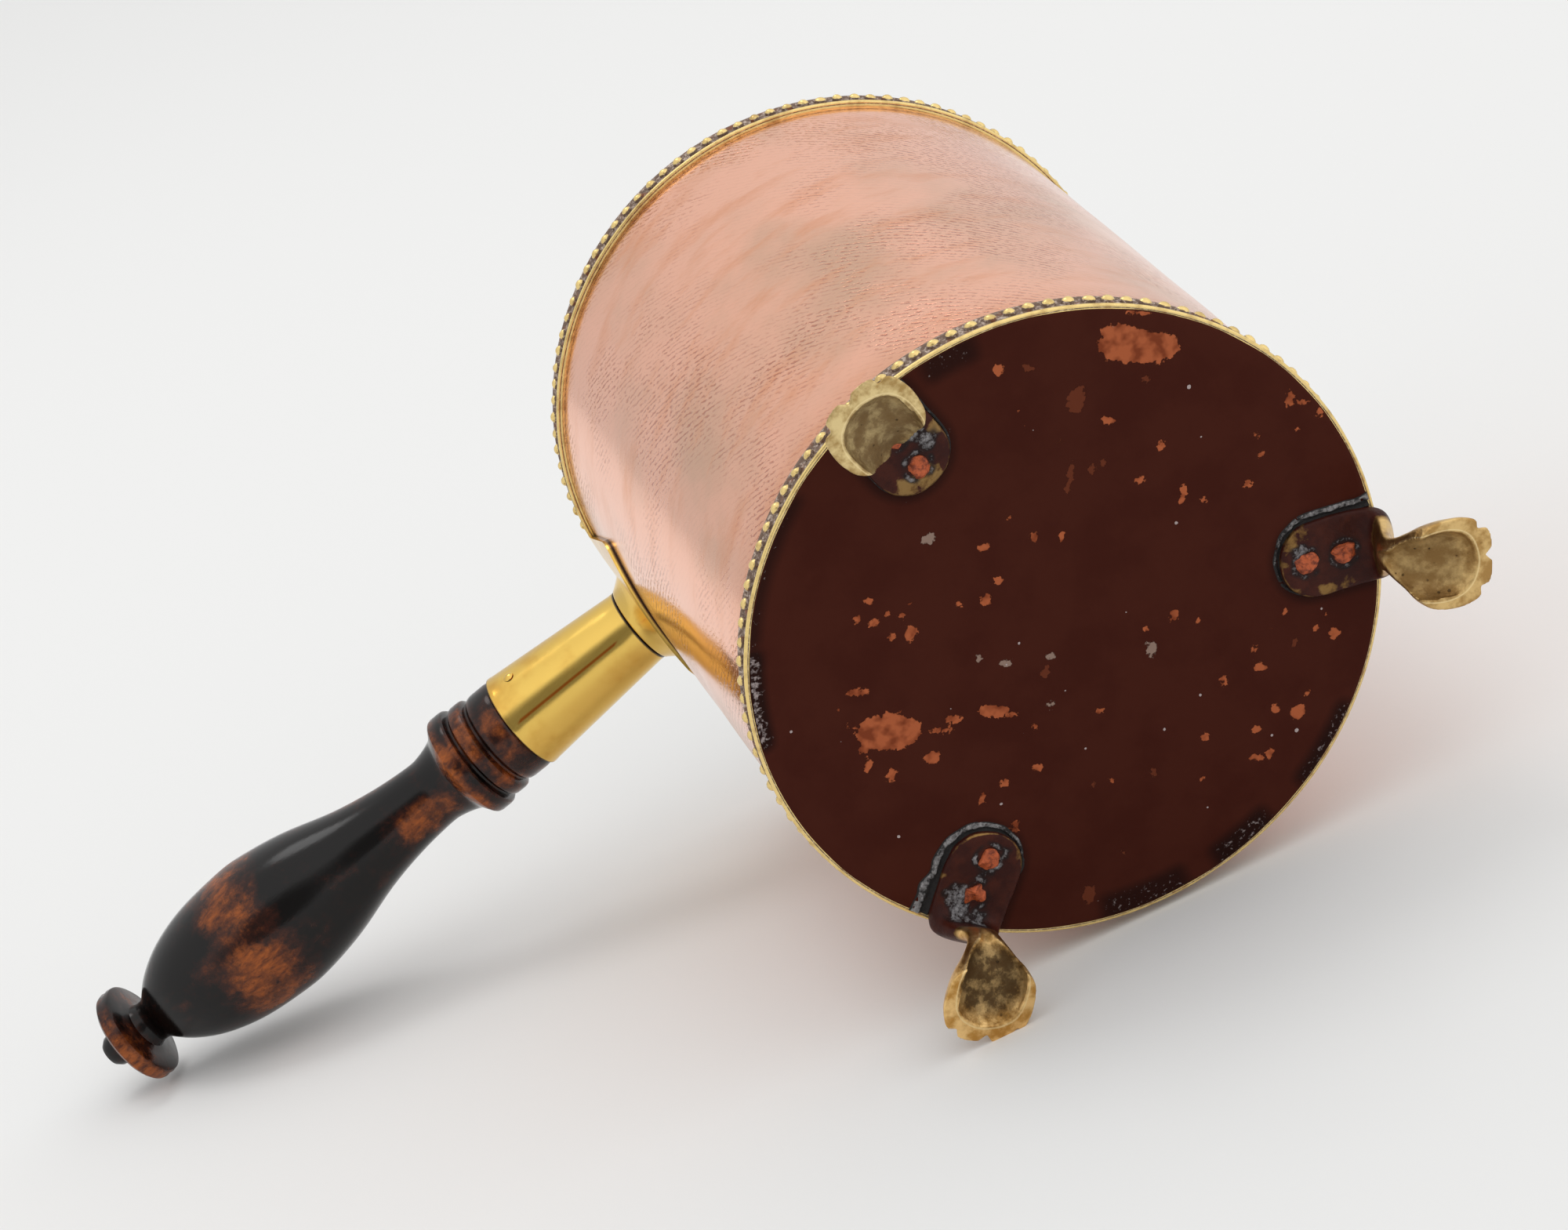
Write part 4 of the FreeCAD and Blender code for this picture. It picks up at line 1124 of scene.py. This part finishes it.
class MakeCopperRivets(bpy.types.Operator):
    """Hammered copper rivets through the tongues and the base"""

    bl_idname = "saucepan.copper_rivets"
    bl_label = "Copper rivets"
    bl_options = {"REGISTER", "UNDO"}

    def execute(self, context):
        heads = []
        for degrees in FOOT_NAMES.values():
            for radius in RIVET_RADII:
                for height in RIVET_ENDS:
                    spot = Matrix.Translation(Vector((radius, 0, height)) * MM)
                    spot = turned_about_z(degrees) @ spot
                    heads.append(ball("rivet_head", 32, 20, RIVET_SIZES, spot))
        rivets = join(heads, "hammered_rivets")
        for vertex in rivets.data.vertices:
            vertex.co += noise.noise_vector(vertex.co / (1.9 * MM)) * 0.75 * MM
            vertex.co += noise.noise_vector(vertex.co / (0.8 * MM)) * 0.16 * MM
            vertex.co.z = max(vertex.co.z, -2.9 * MM)
        finish_piece(rivets, ["foot_rivets"], [hammered_copper()], sharp=50.0)
        return {"FINISHED"}


# Width in millimetres of the crust, and of the painted shade in its gap, along each tongue:
# from the root on its +Y side, round the end, and back to the root.
CRUST_AND_SHADE_WIDTHS = {
    "foot_side": [(0.0, 0.9), (0.3, 0.9), (0.5, 0.6), (0.75, 0.5), (1.0, 0.5)],
    "foot_far": [(0.0, 0.6), (0.3, 0.7), (0.5, 1.2), (0.7, 1.9), (1.0, 2.2)],
    "foot_near": [(0.0, 3.6), (0.25, 2.6), (0.5, 1.7), (0.68, 1.2), (0.8, 0.7), (1.0, 0.6)],
}


def tongue_outline(run):
    """Point and outward direction at a distance along a tongue's outline, in millimetres."""
    bend = math.pi * TONGUE_HALF
    if run < TONGUE_STRAIGHT:
        return Vector((TONGUE_BEND + TONGUE_STRAIGHT - run, TONGUE_HALF, 0)), Vector((0, 1, 0))
    if run > TONGUE_STRAIGHT + bend:
        spine = Vector((TONGUE_BEND + run - TONGUE_STRAIGHT - bend, -TONGUE_HALF, 0))
        return spine, Vector((0, -1, 0))
    turned = math.pi / 2 + (run - TONGUE_STRAIGHT) / TONGUE_HALF
    normal = Vector((math.cos(turned), math.sin(turned), 0))
    return Vector((TONGUE_BEND, 0, 0)) + normal * TONGUE_HALF, normal


class MakeSolderSeams(bpy.types.Operator):
    """Crusted solder in the corner between each tongue and the base, with painted shade in the gap
    """

    bl_idname = "saucepan.solder_seams"
    bl_label = "Solder seams"
    bl_options = {"REGISTER", "UNDO"}

    def execute(self, context):
        seams = []
        outline = 2 * TONGUE_STRAIGHT + math.pi * TONGUE_HALF
        for name, degrees in FOOT_NAMES.items():
            seam = grid("seam", 240, 14)
            crumbs_and_gap_shade = []
            for vertex in seam.data.vertices:
                share = (vertex.co.x + 1) / 2
                across = (vertex.co.y + 1) / 2
                run = share * outline
                spine, normal = tongue_outline(run)
                width = sample(CRUST_AND_SHADE_WIDTHS[name], share)
                rough = noise.noise(Vector((run / 0.9, across * width / 0.8, degrees)))
                wide = width * (1 + 0.35 * noise.noise(Vector((run / 3.5, 3, degrees))))
                ridge = math.exp(-((across - 0.62) / 0.22) ** 2) * min(width / 2.4, 1.0)
                wall = (1 - ease(across, 0.0, 0.28)) * 0.7
                point = spine + normal * (across * wide - 0.3)
                point.z = -0.08 - wall - ridge * (0.45 + 0.9 * rough)
                vertex.co = point * MM
                # Low values by the tongue give the painted shade in the gap, high values further
                # out the scale.
                rim = ease(across, 0.3, 0.6) * (1 - ease(across, 0.86, 1.0))
                crumbs_and_gap_shade.append(rim * min(width / 1.9, 1.0))
            set_values(seam, "crust_and_shade", crumbs_and_gap_shade)
            modify(seam, "SOLIDIFY", thickness=0.08 * MM, offset=0.0)
            place_piece(seam, turned_about_z(degrees))
            seams.append(seam)
        seams = join(seams, "solder_seams")
        finish_piece(seams, [], [crust_and_gap_shade()], sharp=60.0)
        return {"FINISHED"}


# The shield plate, as (height, half width along the wall).
SHIELD = [
    (94.0, 0.0), (96.5, 3.4), (100.0, 8.0), (104.0, 13.4), (108.0, 18.6), (111.0, 22.0),
    (113.0, 23.9), (115.0, 24.5), (117.5, 24.1), (122.0, 22.6), (130.0, 19.8), (141.6, 15.5),
    (148.0, 15.5),
]


# Sections of the boss and the ferrule, as (radius, distance along the handle).
BOSS = [
    (13.2, -1.6), (11.8, -0.2), (10.7, 1.0), (9.9, 2.1), (9.35, 2.9), (9.15, 3.25), (8.95, 3.35),
    (8.0, 3.35), (8.0, -1.6), (13.2, -1.6),
]
FERRULE = [
    (7.8, 3.55), (8.6, 3.5), (8.78, 3.7), (8.8, 4.4), *between((8.78, 5.0), (11.3, 36.2), 16),
    (11.42, 36.8), (11.4, 37.3), (11.1, 37.4), (10.4, 37.4), (7.8, 3.55),
]
# The ferrule's brazed seam: its angle from +Y towards +Z, its half width, and its two ends.
SEAM_DEGREES = 296
SEAM_HALF = 1.9
SEAM_ENDS = (8, 36)


def make_shield():
    """Plate bent to the wall, with dirt where its edge meets the wall."""
    shield = grid("shield", 48, 72)
    low, high = SHIELD[0][0], SHIELD[-1][0]
    for vertex in shield.data.vertices:
        height = low + (vertex.co.y + 1) / 2 * (high - low)
        radius = wall_radius(height) + 0.02
        angle = vertex.co.x * sample(SHIELD, height) / radius
        vertex.co = Vector((radius * math.cos(angle), radius * math.sin(angle), height)) * MM
    bpy.ops.object.mode_set(mode="EDIT")
    close_mesh(0.01, fill=False)
    # Any face tells which way they all point.
    outward = shield.data.polygons[100].normal.x > 0
    modify(shield, "SOLIDIFY", thickness=1.15 * MM, offset=1.0 if outward else -1.0)
    modify(shield, "BEVEL", width=0.25 * MM, segments=2, limit_method="ANGLE")
    joints = []
    for vertex in shield.data.vertices:
        height = vertex.co.z / MM
        arc = abs(math.atan2(vertex.co.y, vertex.co.x)) * wall_radius(height)
        lift = vertex.co.xy.length / MM - wall_radius(height)
        edge = ease(arc / max(sample(SHIELD, height), 1.0), 0.96, 0.98)
        joints.append(edge * (1 - ease(lift, 0.3, 0.7)))
    set_values(shield, "joint", joints)
    return shield


def make_boss():
    """Flared boss on the handle's axis, with its foot drawn out to the shield."""
    boss = turn("boss", BOSS, 96, axis=HANDLE_AXIS)
    place_piece(boss, handle_matrix())
    for vertex in boss.data.vertices:
        radius = vertex.co.xy.length / MM
        seat = wall_radius(vertex.co.z / MM) + 0.3
        if radius < seat:
            vertex.co.xy *= seat / radius
    away = handle_matrix().inverted()
    set_values(boss, "joint", [
        ease((away @ vertex.co).x / MM, 3.26, 3.34) for vertex in boss.data.vertices
    ])
    return boss


def make_ferrule():
    """Tapered tube with a brazed seam along it and dirt in the joint at each end."""
    ferrule = turn("brass_ferrule", FERRULE, 96, axis=HANDLE_AXIS)
    first, last = SEAM_ENDS
    joints = []
    for vertex in ferrule.data.vertices:
        along = vertex.co.x / MM
        degrees = math.degrees(math.atan2(vertex.co.z, vertex.co.y)) % 360
        end = max(1 - ease(along, 3.7, 4.3), ease(along, 37.1, 37.4))
        seam = abs(degrees - SEAM_DEGREES) < SEAM_HALF and first < along < last
        joints.append(-1.0 if seam else end)
    set_values(ferrule, "joint", joints)
    place_piece(ferrule, handle_matrix())
    return ferrule


class MakeHandleSocket(bpy.types.Operator):
    """Shield plate with a flared boss, the ferrule and its pin"""

    bl_idname = "saucepan.handle_socket"
    bl_label = "Handle socket"
    bl_options = {"REGISTER", "UNDO"}

    def execute(self, context):
        brass = sheet_brass()
        socket = join([make_shield(), make_boss()], "shield_plate")
        finish_piece(socket, ["handle_plate"], [brass])
        finish_piece(make_ferrule(), ["ferrule"], [brass])
        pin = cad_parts["ferrule_pin"].data
        pin.materials.clear()
        pin.materials.append(brass)
        return {"FINISHED"}


# The grip starts here along the handle, with three rings, each given by radius and width.
GRIP_START = 37.4
GRIP_RINGS = ((11.1, 6.6), (11.7, 3.6), (12.5, 4.2))
# Its swelling, as (radius, distance along the handle).
GRIP_KNOTS = [
    (10.4, 52.9), (9.3, 54.2), (8.1, 58.0), (7.75, 61.8), (8.6, 71.2), (10.5, 81.4), (14.0, 93.8),
    (15.85, 104.5), (16.05, 111.6), (15.1, 122.2), (12.7, 131.1), (9.2, 137.8), (5.4, 142.2),
]
# Its neck, and its disc with the button, as (radius, distance from where each begins).
GRIP_NECK = [(5.1, 0.6), (5.0, 2.2), (5.5, 3.6), (7.5, 4.1), (10.6, 4.2)]
GRIP_DISC = [
    (11.3, 0.6), (11.5, 1.4), (11.3, 2.2), (11.5, 3.0), (11.3, 3.8), (10.6, 4.4), (6.0, 4.7),
    (4.1, 5.0), (4.0, 7.4), (3.7, 9.0), (2.8, 10.2), (1.4, 10.75), (0, 10.9),
]
# Where the lacquer has worn, and one painted sheen: distance along the grip, angle from +Y
# towards +Z, half length in millimetres, half width in degrees, and strength.
GRIP_WEAR_AND_SHEEN = [
    (112, -30, 7, 36, 1.0), (113, -85, 9, 34, 1.0), (65, -92, 8, 36, 0.95),
    # The patch at 111 mm and 12 degrees is partly worn wood and partly a painted sheen.
    (116, -122, 10, 30, 0.8), (111, 12, 9, 30, 0.85), (72, 18, 14, 14, 0.5),
    (53, -70, 2.4, 95, 1.0), (46.5, -60, 2.5, 90, 0.85), (40, -60, 4, 80, 0.8),
    (151, -100, 3, 95, 1.0), (151, 70, 3, 90, 0.9), (100, 120, 13, 40, 0.8), (70, 150, 7, 34, 0.7),
    (118, 62, 7, 30, 0.6), (54, 120, 2, 60, 0.7),
]
# The edges of its rings, where the lacquer is thin all round.
RING_CRESTS = (37.6, 39.0, 41.0, 43.2, 45.2, 47.4, 50.0, 52.4)


def grip_profile():
    """Section of the grip, from its tenon inside the ferrule to its button."""
    along = GRIP_START
    profile = [(0, along - 30), (6.9, along - 30), (10.2, along), (10.55, along)]
    for radius, width in GRIP_RINGS:
        low = radius - 0.5
        profile += [
            (low, along + 0.05), (radius - 0.15, along + width * 0.1),
            (radius, along + width * 0.25), (radius, along + width * 0.75),
            (radius - 0.15, along + width * 0.9), (low, along + width - 0.05),
        ]
        along += width
        if (radius, width) != GRIP_RINGS[-1]:
            profile += [(radius - 0.8, along + 0.25), (radius - 0.8, along + 0.75)]
            along += 1.0
    shift = along - 52.8 + 1.0
    profile += [(radius, height + shift) for radius, height in curve_through(GRIP_KNOTS, 5)]
    end = profile[-1][1]
    profile += [(radius, end + away) for radius, away in GRIP_NECK]
    disc = end + 4.0
    return profile + [(radius, disc + away) for radius, away in GRIP_DISC]


class MakeTurnedGrip(bpy.types.Operator):
    """Turned wooden grip with three rings, a swelling and a buttoned end"""

    bl_idname = "saucepan.turned_grip"
    bl_label = "Turned grip"
    bl_options = {"REGISTER", "UNDO"}

    def execute(self, context):
        grip = turn("turned_grip", grip_profile(), 112, axis=HANDLE_AXIS)
        crests = [(crest, 0.0, 0.5) for crest in RING_CRESTS]
        wear = []
        for vertex in grip.data.vertices:
            along = vertex.co.x / MM
            degrees = math.degrees(math.atan2(vertex.co.z, vertex.co.y))
            worn = 0.72 * spots(crests, Vector((along, 0.0)), 1.0)
            for middle, around, long, wide, strength in GRIP_WEAR_AND_SHEEN:
                turned = (degrees - around + 180) % 360 - 180
                share = math.hypot((along - middle) / long, turned / wide)
                worn = max(worn, strength * (1 - ease(share, 0.2, 1.7)))
            wear.append(worn)
        set_values(grip, "wear", wear)
        place_piece(grip, handle_matrix())
        finish_piece(grip, ["handle_grip"], [lacquered_wood()], sharp=30.0)
        return {"FINISHED"}


# The floor's upward direction, and the point of the handle that it touches.
FLOOR_NORMAL = Vector((-0.3475, 0.9246, 0.1563))
FLOOR_TOUCH = Vector((213.6, -12.4, 148.1)) * MM
# Directions of the lamp, of the dark patch in the surroundings and of their brighter half.
LAMP_SIDE = Vector((-0.1486, 0.8664, 0.4767))
DARK_SIDE = (0.2256, 0.5055, -0.8327)
FILL_SIDE = (-0.546, 0.406, -0.733)
# The patch is darkest within the first angle of its middle, and gone beyond the second.
DARK_ANGLES = (math.radians(14), math.radians(32))
# Light left in the patch and light added by the brighter half, as shares of the sky's.
DARK_SHARE = 0.22
FILL_SHARE = 0.32
LAMP_AWAY = 2.5
CAMERA_PLACE = (0.00148, 0.34231, -0.59133)
CAMERA_DEGREES = (157.879, 16.014, -139.361)


class MakeStudioStage(bpy.types.Operator):
    """Pale floor that the pan lies on, soft light and the camera"""

    bl_idname = "saucepan.studio_stage"
    bl_label = "Studio stage"
    bl_options = {"REGISTER", "UNDO"}

    def execute(self, context):
        stage = context.scene.saucepan_stage
        deselect()
        bpy.ops.mesh.primitive_plane_add(size=16.0)
        floor = name_piece("floor")
        turned = Vector(AXIS).rotation_difference(FLOOR_NORMAL.normalized()).to_matrix().to_4x4()
        place_piece(floor, Matrix.Translation(FLOOR_TOUCH) @ turned)
        floor.data.materials.append(floor_paper())
        world = bpy.data.worlds.new("white_studio")
        world.use_nodes = True
        sky = world.node_tree
        put = partial(add_node, sky)
        view = put("TexCoord", out="Generated")
        dark, fill = [
            put("VectorMath", {0: view, 1: side}, "Value", operation="DOT_PRODUCT")
            for side in (DARK_SIDE, FILL_SIDE)
        ]
        darkest, gone = DARK_ANGLES
        strength = put("MapRange", {
            "Value": dark, "From Min": math.cos(gone), "From Max": math.cos(darkest),
            "To Min": stage.sky, "To Max": stage.sky * DARK_SHARE,
        }, interpolation_type="SMOOTHSTEP")
        fill = put("Math", {0: fill, 1: FILL_SHARE, 2: 1.0}, operation="MULTIPLY_ADD")
        strength = put("Math", {0: strength, 1: fill}, operation="MULTIPLY")
        sky.nodes["Background"].inputs["Color"].default_value = linear("#FFFFFF")
        sky.links.new(strength, sky.nodes["Background"].inputs["Strength"])
        context.scene.world = world
        bpy.ops.object.light_add(type="AREA", location=LAMP_SIDE * LAMP_AWAY)
        lamp = bpy.context.object
        lamp.name = "soft_lamp"
        lamp.data.shape = "DISK"
        lamp.data.size = 1.0
        lamp.data.energy = stage.lamp
        lamp.rotation_euler = LAMP_SIDE.to_track_quat("Z", "Y").to_euler()
        bpy.ops.object.camera_add(location=CAMERA_PLACE)
        camera = bpy.context.object
        camera.rotation_euler = [math.radians(degrees) for degrees in CAMERA_DEGREES]
        camera.data.lens = stage.lens
        camera.data.sensor_width = 36.0
        camera.data.clip_start = 0.01
        context.scene.camera = camera
        context.scene.view_settings.view_transform = "Standard"
        return {"FINISHED"}


STEPS = [
    MakeCopperBody, MakePaintedBase, MakeBrassBorders, MakeShellFeet, MakeCopperRivets,
    MakeSolderSeams, MakeHandleSocket, MakeTurnedGrip, MakeStudioStage,
]


class SaucepanPanel(bpy.types.Panel):
    """Lists the saucepan's settings and steps"""

    bl_idname = "VIEW3D_PT_saucepan"
    bl_label = "Saucepan"
    bl_space_type = "VIEW_3D"
    bl_region_type = "UI"
    bl_category = "Saucepan"

    def draw(self, context):
        for group, kind in SETTINGS.items():
            box = self.layout.box()
            for name in kind.__annotations__:
                box.prop(getattr(context.scene, group), name)
        for step in STEPS:
            self.layout.operator(step.bl_idname)


SETTINGS = {"saucepan_sizes": PanSizes, "saucepan_colours": PanColours, "saucepan_stage": PanStage}


def register():
    for kind in [*SETTINGS.values(), *STEPS, SaucepanPanel]:
        bpy.utils.register_class(kind)
    for name, kind in SETTINGS.items():
        setattr(bpy.types.Scene, name, PointerProperty(type=kind))


def unregister():
    for name in SETTINGS:
        delattr(bpy.types.Scene, name)
    for kind in reversed([*SETTINGS.values(), *STEPS, SaucepanPanel]):
        bpy.utils.unregister_class(kind)


def main():
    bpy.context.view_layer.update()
    register()
    for step in STEPS:
        module, name = step.bl_idname.split(".")
        getattr(getattr(bpy.ops, module), name)()


if __name__ == "__main__":
    main()
